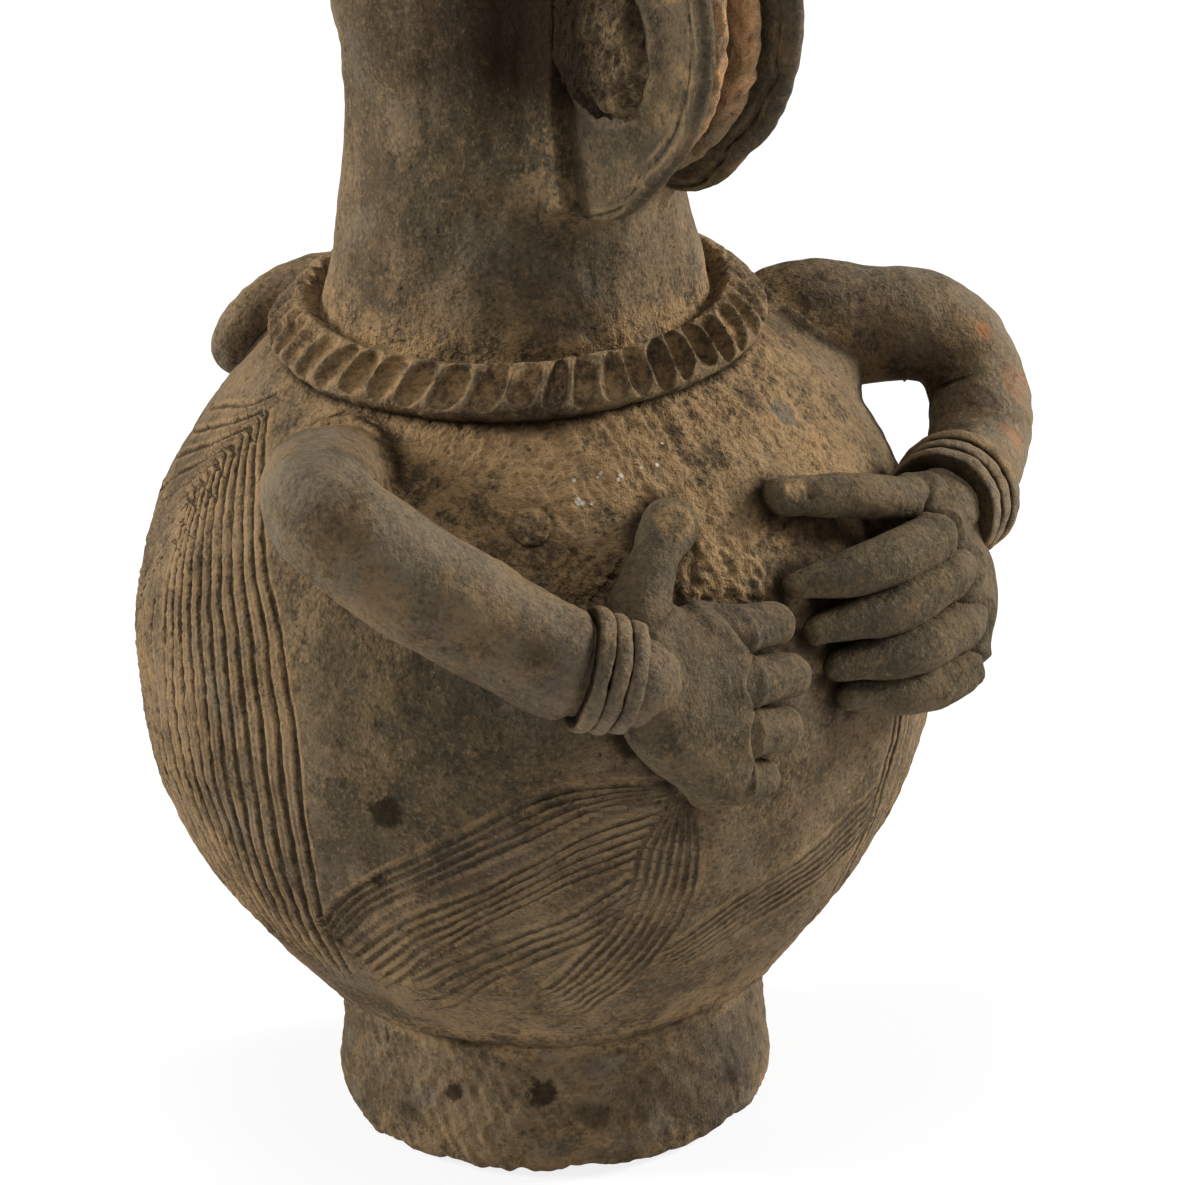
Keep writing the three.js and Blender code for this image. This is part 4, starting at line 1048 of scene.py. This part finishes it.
def necklace():
    """The coil round the neck's foot: a flat oval section turned 45 degrees, pinched into oval dimples.

    A dimple's depth is a root of a raised cosine along the coil, which leaves thin ridges, times a smooth
    step across it. Its place, slant and depth are a little different for each.
    """
    place = np.linspace(0, NOTCH_COUNT, NOTCH_COUNT * DIMPLE_COLUMNS, endpoint=False)[None, :]
    angle = full_turn(NECKLACE_ROWS)[:, None]
    chance = np.random.default_rng(5)
    knots = np.arange(NOTCH_COUNT)

    def each(low, high):
        return np.interp(place, knots, chance.uniform(low, high, NOTCH_COUNT), period=NOTCH_COUNT)

    cosine, sine = np.cos(angle), np.sin(angle)
    wide = np.sign(cosine) * np.abs(cosine) ** SECTION_POWERS[0] * NECKLACE_WIDE
    out = np.maximum(sine, 0)
    slant = (0.03 + each(-0.025, 0.025)) * wide
    share = place + each(-0.13, 0.13) + slant
    along = np.abs((share + 0.5) % 1 - 0.5) * 2
    across = np.abs(wide + each(-0.7, 0.7)) / (DIMPLE_HALF + each(-0.6, 0.3))
    oval = 1 - (along / DIMPLE_SPAN) ** DIMPLE_POWERS["along"] - across ** DIMPLE_POWERS["across"]
    dimple = np.maximum(oval, 0) ** DIMPLE_POWERS["depth"] * ease(out, 0.0, 0.3)
    thick = np.sign(sine) * np.abs(sine) ** SECTION_POWERS[1] * (NECKLACE_THICK + each(-0.25, 0.25))
    thick = thick - dimple * (DIMPLE_DEPTH + each(-0.7, 0.7))
    turn = 2 * math.pi * place / NOTCH_COUNT + math.radians(FIRST_NOTCH)
    sway = np.cos(SWAY["times"] * (turn + math.radians(SWAY["start"])))
    turn = turn + math.radians(SWAY["degrees"]) * sway
    radius = NECKLACE_RADIUS + (wide + thick) * math.sqrt(0.5)
    height = NECKLACE_HEIGHT + (thick - wide) * math.sqrt(0.5)
    base = np.stack([radius * np.sin(turn), -radius * np.cos(turn), height + 0 * turn], -1)
    grid = facing_out(base, True)
    ridge = ease(along, 0.75, 0.97) * out * ease(across, 1.1, 0.6)
    if not np.array_equal(grid, base):
        dimple, ridge = dimple[:, ::-1], ridge[:, ::-1]
    grit = 0.22 * lumps(grid, 9, 81) + 0.1 * lumps(grid, 3.6, 82)
    up = grid[..., 2]
    marks = {
        "dust": 0.6 * ease(dimple, 0.25, 0.8) + 0.4 * ease(up, NECKLACE_HEIGHT + 4, NECKLACE_HEIGHT + 8),
        "rubbed": 0.55 * ridge,
        "crust": 0.35,
        # Painted shade under the coil's lower edge
        "soot": 0.9 * ease(up, NECKLACE_HEIGHT - 3.5, NECKLACE_HEIGHT - 8),
    }
    grid = moved(grid, grit, True)
    return make_piece("necklace_coil_clay", grid, clay("necklace"), marks, True)


# Arms and hands


def cuffed(line, forearm):
    """An arm's line with its forearm kept thick up to the cuff, where it ends in a quarter round edge."""
    step = np.linalg.norm(np.diff(line[:, :3], axis=0), axis=1)
    left = np.concatenate([np.cumsum(step[::-1])[::-1], [0]]) - CUFF_LENGTH
    thick = np.where(left < FOREARM_EDGE * 5, forearm, line[:, 3])
    share = ease(left, FOREARM_EDGE * 5, FOREARM_EDGE * 8)
    thick = forearm * (1 - share) + np.maximum(line[:, 3], forearm - 1) * share
    edge = np.clip(1 - left / FOREARM_EDGE, 0, 1)
    thick = thick - BRACELET_THICK * (1 - np.sqrt(np.maximum(1 - edge**2, 0)))
    wrist = line[-1, 3] + 1.2
    line = line.copy()
    line[:, 3] = np.where(left < 0, wrist, thick)
    return line


def roll(name, around=64, thumb=False):
    """An arm, thumb or finger: a tube along its line, uneven, smeared where it leaves the belly."""
    line = ROLLS[name]
    side = name.split("_")[0]
    arm = name.endswith("arm")
    if arm:
        line = cuffed(roll_line(ARMS[side], ARM_STEPS), FOREARMS[side])
    base = facing_out(tube(line, around))
    latitude = belly_angles(base)[1]
    above = above_belly(base)
    lift = 0.75 * uneven(base, 13 if arm else 14) - 0.25 + 0.13 * lumps(base, 7, 91)
    high = ease(above, line[:, 3].mean() * 0.9, line[:, 3].mean() * 2.0)
    # A thumb's or finger's soot mark is painted shade where it comes near the belly; arms take random soot
    # below
    marks = {"rubbed": 0.75 * high, "crust": 0.2, "soot": 0.75 * ease(above, 5.5, 0.5)}
    dust = 0.15
    if arm:
        shoulder = ease(latitude, *ARM_FOOT)
        lift = lift + smear(above, 6.0, True) * shoulder
        marks["crust"] = 0.2 + 0.6 * ease(above, 14, 3) * shoulder
        marks["soot"] = 0.35 * ease(lumps(base, 30, 92), 0.8, 1.8)
        dust = dust + 0.35 * ease(above, 18, 4) * shoulder
    else:
        lift = lift + smear(PADS[side + "_palm"].off(base), 2.5) * 0.5 * ease(above, 3, 8)
    if thumb:
        span, lift = nail(line, base, lift)
        dust = dust + 0.55 * ease(span, 0.95, 0.7)
        nail_rim = 0.8 * ease(np.abs(span - 1.1), 0.25, 0.05)
        marks["rubbed"] = np.maximum(marks["rubbed"] * ease(span, 0.9, 1.1), nail_rim)
    marks["dust"] = dust
    kind = "arm" if arm else "hand"
    return make_piece(name + "_clay", moved(base, lift), clay(kind), marks)


def nail(line, base, lift):
    """A thumbnail: the roll cut flat in an oval near its tip, with a thin raised rim."""
    tip = line[int(len(line) * NAIL_PLACE)]
    tangent = unit((line[-1] - line[-6])[:3])
    out = unit(tip[:3] - BELLY_MIDDLE)
    step = base - tip[:3]
    along, up = step @ tangent, step @ out
    lateral = step @ np.cross(out, tangent)
    oval = np.hypot(along / (tip[3] * NAIL_HALF[0]), lateral / (tip[3] * NAIL_HALF[1]))
    span = np.where(up > 0, oval, NO_NAIL)
    flat = tip[3] * NAIL_HEIGHT
    lift = np.where(span < 1, np.minimum(lift, flat - up), lift)
    off_rim = (span - NAIL_RIM["place"]) / NAIL_RIM["width"]
    return span, lift + NAIL_RIM["height"] * np.exp(-(off_rim**2))


def palm(side):
    """The pad of a hand: rings of its outline from the middle out, domed, then down into the belly."""
    pad = PADS[side + "_palm"]
    corners = len(pad.edge)
    place = np.linspace(0, corners, PALM_AROUND, endpoint=False)
    edge = np.column_stack([
        np.interp(place, np.arange(corners), pad.edge[:, column], period=corners) for column in (0, 1)])
    inner, outer = PALM_RINGS
    steep = 1 - 0.1 * (1 - np.linspace(0, 1, outer)[1:]) ** 1.7
    share = np.concatenate([np.linspace(0.02, 0.9, inner), steep])
    spot = pad.centre + share[:, None, None] * (edge - pad.centre)[None]
    height = pad.height(spot[..., 0], share[:, None]) - 0.4
    top = on_belly(spot[..., 0], spot[..., 1], height)
    under = pad.centre + np.array(PALM_UNDER)[:, None, None] * (edge - pad.centre)[None]
    base = facing_out(np.concatenate([top, on_belly(under[..., 0], under[..., 1], PALM_DEPTH)]))
    digits = closest(off_line(base, ROLLS[name], 5) for name in DIGITS if name.startswith(side))
    arm = off_line(base, ROLLS[side + "_arm"], 8)
    above = above_belly(base)
    lift = 0.8 * uneven(base, 15) + smear(digits, 5.0) * 0.7 * ease(above, 2, 6) + smear(arm, 3.0) * 0.4
    lift = lift * ease(above, -3, 2)
    # Painted shade round the pad's foot, where it comes near the belly
    soot = 0.75 * ease(above, 6, 0.5)
    marks = {"rubbed": 0.7 * ease(above, 8, 15), "crust": 0.2, "soot": soot, "dust": 0.15}
    return make_piece(side + "_palm_clay", moved(base, lift), clay("hand"), marks)


def bracelet(side, order, step):
    """One ring of a stepped cuff: a rounded section carried round the wrist's straight axis."""
    before, end = (on_belly(*control[:3]) for control in ARMS[side][-2:])
    along = unit(end - before)
    hole = ARMS[side][-1][3] + BRACELET_ROOM
    pitch, swell = BRACELET_FIT[side]
    outer = hole + BRACELET_THICK + step + swell
    at = end - along * (len(BRACELET_STEPS) - order + 0.5) * pitch
    across = unit(np.cross(along, at - BELLY_MIDDLE))
    lift = np.cross(across, along)
    turn = full_turn(BRACELET_AROUND)[None, :]
    crest_turn = np.linspace(0, math.pi, 22)[:, None]
    depth = pitch / 2 * np.concatenate([np.cos(crest_turn), np.array([[-0.95], [0.0], [0.95]])]) + 0 * turn
    top = outer - BRACELET_CREST + BRACELET_CREST * np.sin(crest_turn) ** 0.7
    radius = np.concatenate([top, np.full((3, 1), hole - 0.4)])
    ring = across * np.cos(turn)[..., None] + lift * np.sin(turn)[..., None]
    base = facing_out(at + along * depth[..., None] + ring * (radius + 0 * turn)[..., None], True)
    bumps = 0.22 * lumps(base, 15, 101 + order) + 0.12 * lumps(base, 5, 105)
    crest = ease(radius + 0 * turn, outer - 1.4, outer - 0.3)
    # Painted shade in the grooves between the rings, away from their crests
    marks = {"rubbed": 0.7 * crest, "soot": 0.75 * (1 - crest), "crust": 0.3, "dust": 0.25}
    name = f"{side}_bracelet_{order}_clay"
    return make_piece(name, moved(base, bumps - 0.1, True), clay("arm"), marks, True)


# Head


def half_disc(name, x, radius, half, inset, kind, seed):
    """An upright half disc with a rounded rim: out from the middle of one face, over the rim and back.

    It is a circle in front and straight behind, inside the head. A ring is scratched inside the rim.
    """
    turn = full_turn(PLATE_AROUND)[None, :]
    front = np.cos(turn) > 0
    sine, cosine = np.abs(np.sin(turn)) + 1e-6, np.abs(np.cos(turn)) + 1e-6
    fin = PLATE_FIN * (radius / JAW_RADIUS) ** 6
    low = radius + fin * ease(-np.sin(turn), 0.78, 1.0)
    outline = np.where(front, low, np.minimum(low / sine, PLATE_BACK / cosine))
    face = np.linspace(0.02, 1, PLATE_RINGS)[:, None]
    bend = np.linspace(0, math.pi, PLATE_BEND)[1:-1, None]
    curve = min(half, PLATE_EDGE)
    flat = face * (outline - curve)
    reach = np.concatenate([flat, outline - curve + curve * np.sin(bend), flat[::-1]])
    rounded = half - curve + curve * np.cos(bend) if half > curve else half * np.cos(bend)
    beside = np.concatenate([half + 0 * face, rounded, -half + 0 * face]) + 0 * turn
    forward, height = reach * np.cos(turn), reach * np.sin(turn)
    base = facing_out(np.stack([x + beside, -JAW_FORWARD - forward, JAW_HEIGHT + height], -1))
    out = from_jaw(base)
    droop = ease((JAW_HEIGHT - base[..., 2]) / np.maximum(out, 1), 0.78, 1.0)
    line = radius - inset + (fin + inset * 0.6) * droop + 0.5 * lumps(base, 14, seed + 4)
    scratch = np.minimum(np.abs(line - out) + 0.3, STROKE_REACH) if inset else STROKE_REACH
    coarse = 0.12 if inset else 0.4
    lift = 0.5 * uneven(base, seed) + coarse * lumps(base, 6, seed + 1) - 0.35
    lift = lift - 0.5 * ease(scratch, 1.2, 0.3)
    rim = ease(out, radius - 3.5, radius - 0.8)
    neck = np.hypot(base[..., 0], base[..., 1]) - neck_radius(base[..., 2])
    cheek = from_lump(base, math.copysign(1, x))
    lift = lift - 1.2 * ease(neck, 9, 0)
    if inset:
        lift = lift + smear((cheek - 1) * 11, 4.0)
    behind = ease(base[..., 1], -JAW_FORWARD - 22, -JAW_FORWARD - 4)
    marks = {
        "scratch": scratch,
        "rubbed": 0.35 + 0.55 * rim,
        "crust": 0.25 + 0.4 * ease(neck, 10, 2),
        "dust": 0.25 + 0.3 * ease(lumps(base, 16, seed + 2), 0.2, 1.4),
        # Painted shade on the plate beside and behind the cheek lump
        "soot": 0.9 * ease(cheek, 1.6, 1.05) * behind,
    }
    return make_piece(name, moved(base, lift), clay(kind), marks)


def cheek_lump(side, way):
    """The rough lump outside a jaw plate: a stretched ball, flat on the plate's side, full of grit."""
    base = ball(LUMP_AT * (way, 1, 1), LUMP_SIZE - (0.6, 1.2, 1.2), **LUMP_GRID)
    at = LUMP_AT[0] * way
    inner = (base[..., 0] - at) * way < 0
    base[..., 0] = np.where(inner, at + (base[..., 0] - at) * LUMP_FLAT, base[..., 0])
    rough = 0.9 * lumps(base, 15, 111) + 0.45 * lumps(base, 7, 112) + 0.3 * lumps(base, 3, 113)
    back = ease(base[..., 1], LUMP_AT[1] - 13, LUMP_AT[1] + 3)
    # Painted shade on the lump's back and in its hollows; the ochre dust on its bumps is kept off that back
    soot = np.maximum(0.95 * back, 0.5 * ease(rough, 0.3, -1.2))
    marks = {"crust": 0.6, "soot": soot, "dust": 0.4 * ease(rough, 0.2, 1.6) * (1 - back)}
    return make_piece(side + "_cheek_lump_clay", moved(base, rough - 0.9), clay("lump"), marks)


def nipple():
    """The flat pellet on the chest: a disc with a rounded edge, square to the belly."""
    turn = full_turn(NIPPLE_COLUMNS)[None, :]
    profile = smooth_line(NIPPLE_OUTLINE, 40)
    out = unit(on_belly(*NIPPLE) - BELLY_MIDDLE)
    across = unit(np.cross(out, (0, 0, 1)))
    ring = across * np.cos(turn)[..., None] + np.cross(out, across) * np.sin(turn)[..., None]
    base = facing_out(on_belly(*NIPPLE) + ring * profile[:, :1, None] + out * profile[:, 1:, None])
    lift = 0.2 * lumps(base, 6, 137) + 0.1 * lumps(base, 3, 138)
    marks = {"rubbed": 0.2, "dust": 0.5, "crust": 0.6}
    return make_piece("right_nipple_clay", moved(base, lift), clay("trim"), marks)


def pellet(name, seed, slit=False, at=None, size=None, turn=0.0, tilt=0.0, flare=0.0):
    """An eye, ear, nose or lug: a stretched ball in its node's box, or at a place, smeared at its root."""
    low, high = low_corner(name), high_corner(name)
    at = (low + high) / 2 if at is None else at
    size = (high - low) / 2 if size is None else np.asarray(size, float)
    base = ball(at, size - PELLET_SHRINK, turn, tilt)
    lift = 0.35 * uneven(base, seed) + 0.18 * lumps(base, 6, seed + 1)
    scratch = STROKE_REACH
    if slit:
        scratch = np.minimum(np.abs(base[..., 2] - at[2]) + 0.12 * lumps(base, 6, seed), STROKE_REACH)
        lift = lift - 1.1 * ease(scratch, 1.3, 0.2)
    if flare:
        lift = lift + smear(above_belly(base), flare) * 0.5
    marks = {"scratch": np.maximum(scratch, 0), "rubbed": 0.6, "dust": 0.25}
    return make_piece(name + "_clay", moved(base, lift), clay("trim"), marks)


# Clays: what each kind of piece changes in the fired clay

POT_SPOTS = (
    ("cloud", [(on_belly(*spot[:2]), spot[2]) for spot in DARK_CLOUDS] + NECK_PAINTED_SHADE),
    ("soot", [(on_belly(*spot[:2]), spot[2]) for spot in SOOT_SPOTS]),
    ("rubbed", [(on_belly(*spot[:2]), spot[2]) for spot in BARE_SPOTS]),
    ("chalk", [(on_belly(*spot[:2]), spot[2]) for spot in PALE_SPECKS]),
)
CLAYS = {
    "pot": {"dusty": 0.24, "grey": 0.3, "red": 0.2, "ruled": True, "spots": POT_SPOTS},
    "foot": {"dusty": 0.3, "grey": 0.35, "red": 0.15, "speckle": 0.5, "spots": (("soot", FOOT_SPOTS),)},
    "necklace": {"dusty": 0.55, "grey": 0.25, "red": 0.1, "speckle": 0.55},
    "arm": {"dusty": 0.15, "grey": 0.35, "red": 0.35, "speckle": 0.45, "patchy": 0.7,
            "spots": (("iron", ARM_IRON),)},
    "hand": {"base": "cloud", "worn_tone": "handled", "dusty": -0.1, "grey": 0.2, "red": 0.35,
             "speckle": 0.5, "patchy": 0.3},
    "jaw": {"base": "cloud", "worn_tone": "handled", "dusty": -0.3, "grey": 0.7, "red": 0.1,
            "speckle": 0.4, "patchy": 0.1},
    "lump": {"dusty": -0.4, "grey": 0.1, "red": 0.1, "crumbly": 1.0, "speckle": 0.8, "patchy": 0.5},
    "lip": {"base": "ochre", "dusty": 0.5, "grey": -1.0, "red": 0.5, "crumbly": 0.4},
    "trim": {"dusty": 0.3, "grey": 0.3, "red": 0.15},
}


def clay(kind):
    """The fired clay of one kind of piece, made when it is first asked for."""
    name = kind + "_clay_finish"
    return bpy.data.materials.get(name) or fired_clay(name, **CLAYS[kind])


# Property groups, operators and panel


def length(name, description, default, least=0.0):
    """A small length in metres."""
    return bpy.props.FloatProperty(
        name=name, description=description, default=default, min=least, max=0.003, precision=5,
        unit="LENGTH")


def angle(name, description, degrees):
    """An angle, given in degrees."""
    return bpy.props.FloatProperty(
        name=name, description=description, default=math.radians(degrees), subtype="ANGLE")


def power(name, description, default):
    """The strength of a light."""
    return bpy.props.FloatProperty(name=name, description=description, default=default, min=0)


def tone(name, description, colour):
    """A colour."""
    return bpy.props.FloatVectorProperty(
        name=name, description=description, default=colour, size=3, min=0, max=1, subtype="COLOR")


class JarShape(bpy.types.PropertyGroup):
    """How uneven and how deeply scratched the clay is."""

    unevenness: length("Unevenness", "Height of the hand-built lumps", 0.0009)
    stroke_width: length("Stroke half width", "Half width of a scratched line", 0.00105, 0.0003)
    stroke_depth: length("Stroke depth", "Depth of a scratched line", 0.0012)


class JarClay(bpy.types.PropertyGroup):
    """The tones of the fired clay."""

    body: tone("Body", "Plain brown clay", (0.064, 0.046, 0.027))
    pale: tone("Pale", "Lighter patches", (0.115, 0.083, 0.049))
    smoke: tone("Smoke", "Grey clouds from the firing", (0.05, 0.041, 0.03))
    iron: tone("Iron", "Red-orange patches", (0.22, 0.085, 0.034))
    dust: tone("Dust", "Ochre earth in hollows", (0.27, 0.17, 0.08))
    rubbed: tone("Rubbed", "Grey-brown clay where hands rubbed it", (0.108, 0.09, 0.064))
    handled: tone("Handled", "Dull brown clay of the hands and the jaw", (0.06, 0.048, 0.031))
    # Cloud: dark olive patches on the belly and base of the hands and jaw; on the neck's front, painted
    # shade
    cloud: tone("Cloud", "Dark olive clouds on the belly", (0.05, 0.04, 0.024))
    pit: tone("Pit", "Pores and the bottoms of scratches", (0.016, 0.01, 0.006))
    # Soot: the tone of real soot spots, and also of the painted shade in corners, under rolls and by the
    # jaw
    soot: tone("Soot", "Blackened corners", (0.014, 0.009, 0.0045))
    ochre: tone("Ochre", "Red-brown clay of the inner lips", (0.5, 0.27, 0.13))
    chalk: tone("Chalk", "Small pale specks", (0.5, 0.46, 0.39))


class JarStage(bpy.types.PropertyGroup):
    """The light and the camera's place."""

    azimuth: angle("Azimuth", "Camera turn from the jar's front", -40)
    elevation: angle("Elevation", "Camera height angle", 23.5)
    roll: angle("Roll", "Camera roll", 2.84)
    distance: bpy.props.FloatProperty(
        name="Distance", description="From the target to the camera", default=2.4, unit="LENGTH")
    target: bpy.props.FloatVectorProperty(
        name="Target", description="The place in the middle of the picture",
        default=(0.01482, -0.01244, 0.15475), size=3, subtype="TRANSLATION", unit="LENGTH")
    lens: bpy.props.FloatProperty(
        name="Lens", description="Focal length in millimetres", default=252, min=1)
    sky: power("Sky", "Even light from all round", 0.26)
    key: power("Key", "Power of the large lamp above", 24)
    side: power("Side", "Power of the lamp on the left", 76)
    far_side: power("Far side", "Power of the lamp on the right", 92)


class JAR_OT_pot(bpy.types.Operator):
    """Build the foot, the belly's two halves, the neck, the head and the rim"""

    bl_idname = "jar.pot"
    bl_label = "Pot"

    def execute(self, context):
        foot()
        inner_radius = BELLY_RADIUS - BELLY_WALL
        inner_top = math.degrees(math.asin((SHOULDER_HEIGHT - BELLY_CENTRE) / inner_radius))
        under = np.linspace(-89.5, -62, 14)[:-1]
        low = np.concatenate([under, np.linspace(-62, SEAM_LAP, BELLY_ROWS - len(under))])
        belly_shell(low, np.linspace(0.5, -89, BELLY_INNER_ROWS), False, "lower_bowl_clay", 1)
        high = np.linspace(-SEAM_LAP, SHOULDER_LATITUDE, BELLY_ROWS)
        belly_shell(high, np.linspace(inner_top, -0.5, BELLY_INNER_ROWS), True, "shoulder_dome_clay", -1)
        necked("neck_tube_clay", SHOULDER_HEIGHT, NECK_TOP, 0, SEAM_LAP)
        necked("head_tube_clay", NECK_TOP, HEAD_TOP, SEAM_LAP, 0)
        mouth_ring()
        return {"FINISHED"}


class JAR_OT_necklace(bpy.types.Operator):
    """Build the notched coil round the neck's foot"""

    bl_idname = "jar.necklace"
    bl_label = "Necklace"

    def execute(self, context):
        necklace()
        return {"FINISHED"}


class JAR_OT_arms(bpy.types.Operator):
    """Build both arms with their bracelets"""

    bl_idname = "jar.arms"
    bl_label = "Arms and bracelets"

    def execute(self, context):
        for side in SIDES:
            roll(side + "_arm", around=ARM_AROUND)
            for order, step in BRACELET_STEPS:
                bracelet(side, order, step)
        return {"FINISHED"}


class JAR_OT_hands(bpy.types.Operator):
    """Build both palms, the thumbs and the fingers"""

    bl_idname = "jar.hands"
    bl_label = "Hands"

    def execute(self, context):
        for side in SIDES:
            palm(side)
        for name in DIGITS:
            roll(name, thumb=name.endswith("thumb"))
        return {"FINISHED"}


class JAR_OT_jaw(bpy.types.Operator):
    """Build the jaw's half discs, inner ridges and cheek lumps"""

    bl_idname = "jar.jaw"
    bl_label = "Jaw"

    def execute(self, context):
        for side, way in zip(SIDES, (1, -1)):
            plate, lip = side + "_jaw_plate_clay", side + "_inner_lip"
            half_disc(plate, way * PLATE_X, JAW_RADIUS, PLATE_HALF, RING_INSET, "jaw", 121)
            middle = (low_corner(lip) + high_corner(lip)) / 2
            half = (high_corner(lip) - low_corner(lip)) / 2
            half_disc(lip + "_clay", middle[0], half[2], half[0], 0, "lip", 124)
            cheek_lump(side, way)
        return {"FINISHED"}


class JAR_OT_trim(bpy.types.Operator):
    """Build the eyes, ears, nose, nipple and rear lug"""

    bl_idname = "jar.trim"
    bl_label = "Eyes, ears, nose, nipple and lug"

    def execute(self, context):
        for side in SIDES:
            pellet(side + "_eye", 131, slit=True)
            pellet(side + "_ear", 133)
        pellet("nose", 135)
        nipple()
        pellet("rear_lug", 139, at=LUG_AT, size=LUG_SIZE, turn=LUG_TURN, tilt=LUG_TILT, flare=LUG_FLARE)
        return {"FINISHED"}


# The stage in metres: lamps are a name, the property with their power, a place and a size

FLOOR_HALF = 6.0
FLOOR_TONE = (0.85, 0.85, 0.85, 1)
FLOOR_GLOW = 0.84
WHITE = (1, 1, 1, 1)
LIT_PLACE = (0, 0, 0.2)
LAMPS = (
    ("key", "key", (-0.3, -0.2, 2.4), 1.0),
    ("left_side", "side", (-1.5, 1.5, 1.0), 0.7),
    ("right_side", "far_side", (1.9, -0.9, 1.0), 0.7),
)
CLIP_END = 20


def lamp(name, place, target, strength, size):
    """A square area lamp turned towards a place."""
    data = bpy.data.lights.new(name, "AREA")
    data.energy = strength
    data.size = size
    light = bpy.data.objects.new(name, data)
    light.location = place
    light.rotation_euler = (Vector(target) - Vector(place)).to_track_quat("-Z", "Y").to_euler()
    bpy.context.scene.collection.objects.link(light)
    return light


class JAR_OT_stage(bpy.types.Operator):
    """Set the floor, the light and the camera"""

    bl_idname = "jar.stage"
    bl_label = "Stage"

    def execute(self, context):
        scene = context.scene
        stage = scene.jar_stage
        mesh = bpy.data.meshes.new("floor")
        signs = ((-1, -1), (1, -1), (1, 1), (-1, 1))
        mesh.from_pydata([(x * FLOOR_HALF, y * FLOOR_HALF, 0) for x, y in signs], [], [(0, 1, 2, 3)])
        floor = bpy.data.objects.new("floor", mesh)
        scene.collection.objects.link(floor)
        bench = Bench(bpy.data.materials.new("floor_white"))
        paper = bench.node("ShaderNodeBsdfDiffuse", {}, {"Color": FLOOR_TONE}, "BSDF")
        glow = bench.node("ShaderNodeEmission", {}, {"Color": WHITE, "Strength": 1.0}, "Emission")
        values = {0: bench.seen() * FLOOR_GLOW, 1: paper, 2: glow}
        mesh.materials.append(bench.finish(bench.node("ShaderNodeMixShader", {}, values, "Shader")))

        bench = Bench(bpy.data.worlds.new("studio"))
        strength = stage.sky + bench.seen() * (1 - stage.sky)
        values = {"Color": WHITE, "Strength": strength}
        sky = bench.node("ShaderNodeBackground", {}, values, "Background")
        scene.world = bench.finish(sky, "ShaderNodeOutputWorld")
        for name, key, place, size in LAMPS:
            lamp(name, place, LIT_PLACE, getattr(stage, key), size)

        camera = bpy.data.objects.new("camera", bpy.data.cameras.new("camera"))
        flat = Vector((math.sin(stage.azimuth), -math.cos(stage.azimuth), 0))
        back = flat * math.cos(stage.elevation) + Vector((0, 0, math.sin(stage.elevation)))
        target = Vector(stage.target)
        camera.location = target + back * stage.distance
        level = (-back).to_track_quat("-Z", "Y").to_matrix()
        camera.rotation_euler = (level @ Matrix.Rotation(-stage.roll, 3, "Z")).to_euler()
        camera.data.lens = stage.lens
        camera.data.clip_end = CLIP_END
        scene.collection.objects.link(camera)
        scene.camera = camera
        scene.view_settings.view_transform = "Standard"
        return {"FINISHED"}


OPERATORS = (JAR_OT_pot, JAR_OT_necklace, JAR_OT_arms, JAR_OT_hands, JAR_OT_jaw, JAR_OT_trim, JAR_OT_stage)


class JAR_PT_panel(bpy.types.Panel):
    """Lists the jar's settings and its building steps"""

    bl_idname = "JAR_PT_panel"
    bl_label = "Figure jar"
    bl_space_type = "VIEW_3D"
    bl_region_type = "UI"
    bl_category = "Jar"

    def draw(self, context):
        scene = context.scene
        for group in (scene.jar_shape, scene.jar_clay, scene.jar_stage):
            for key in group.bl_rna.properties.keys():
                if key not in ("rna_type", "name"):
                    self.layout.prop(group, key)
        for operator in OPERATORS:
            self.layout.operator(operator.bl_idname)


GROUPS = {"jar_shape": JarShape, "jar_clay": JarClay, "jar_stage": JarStage}


def register():
    """Registers the property groups, operators and panel."""
    for key, group in GROUPS.items():
        bpy.utils.register_class(group)
        setattr(bpy.types.Scene, key, bpy.props.PointerProperty(type=group))
    for cls in (*OPERATORS, JAR_PT_panel):
        bpy.utils.register_class(cls)


def unregister():
    """Takes them all out again."""
    for cls in (JAR_PT_panel, *reversed(OPERATORS)):
        bpy.utils.unregister_class(cls)
    for key, group in GROUPS.items():
        delattr(bpy.types.Scene, key)
        bpy.utils.unregister_class(group)


def main():
    """Builds the whole jar."""
    register()
    for operator in OPERATORS:
        step = getattr(bpy.ops.jar, operator.bl_idname.split(".")[1])
        if step() != {"FINISHED"}:
            raise RuntimeError(operator.bl_label + " did not finish")


if __name__ == "__main__":
    main()
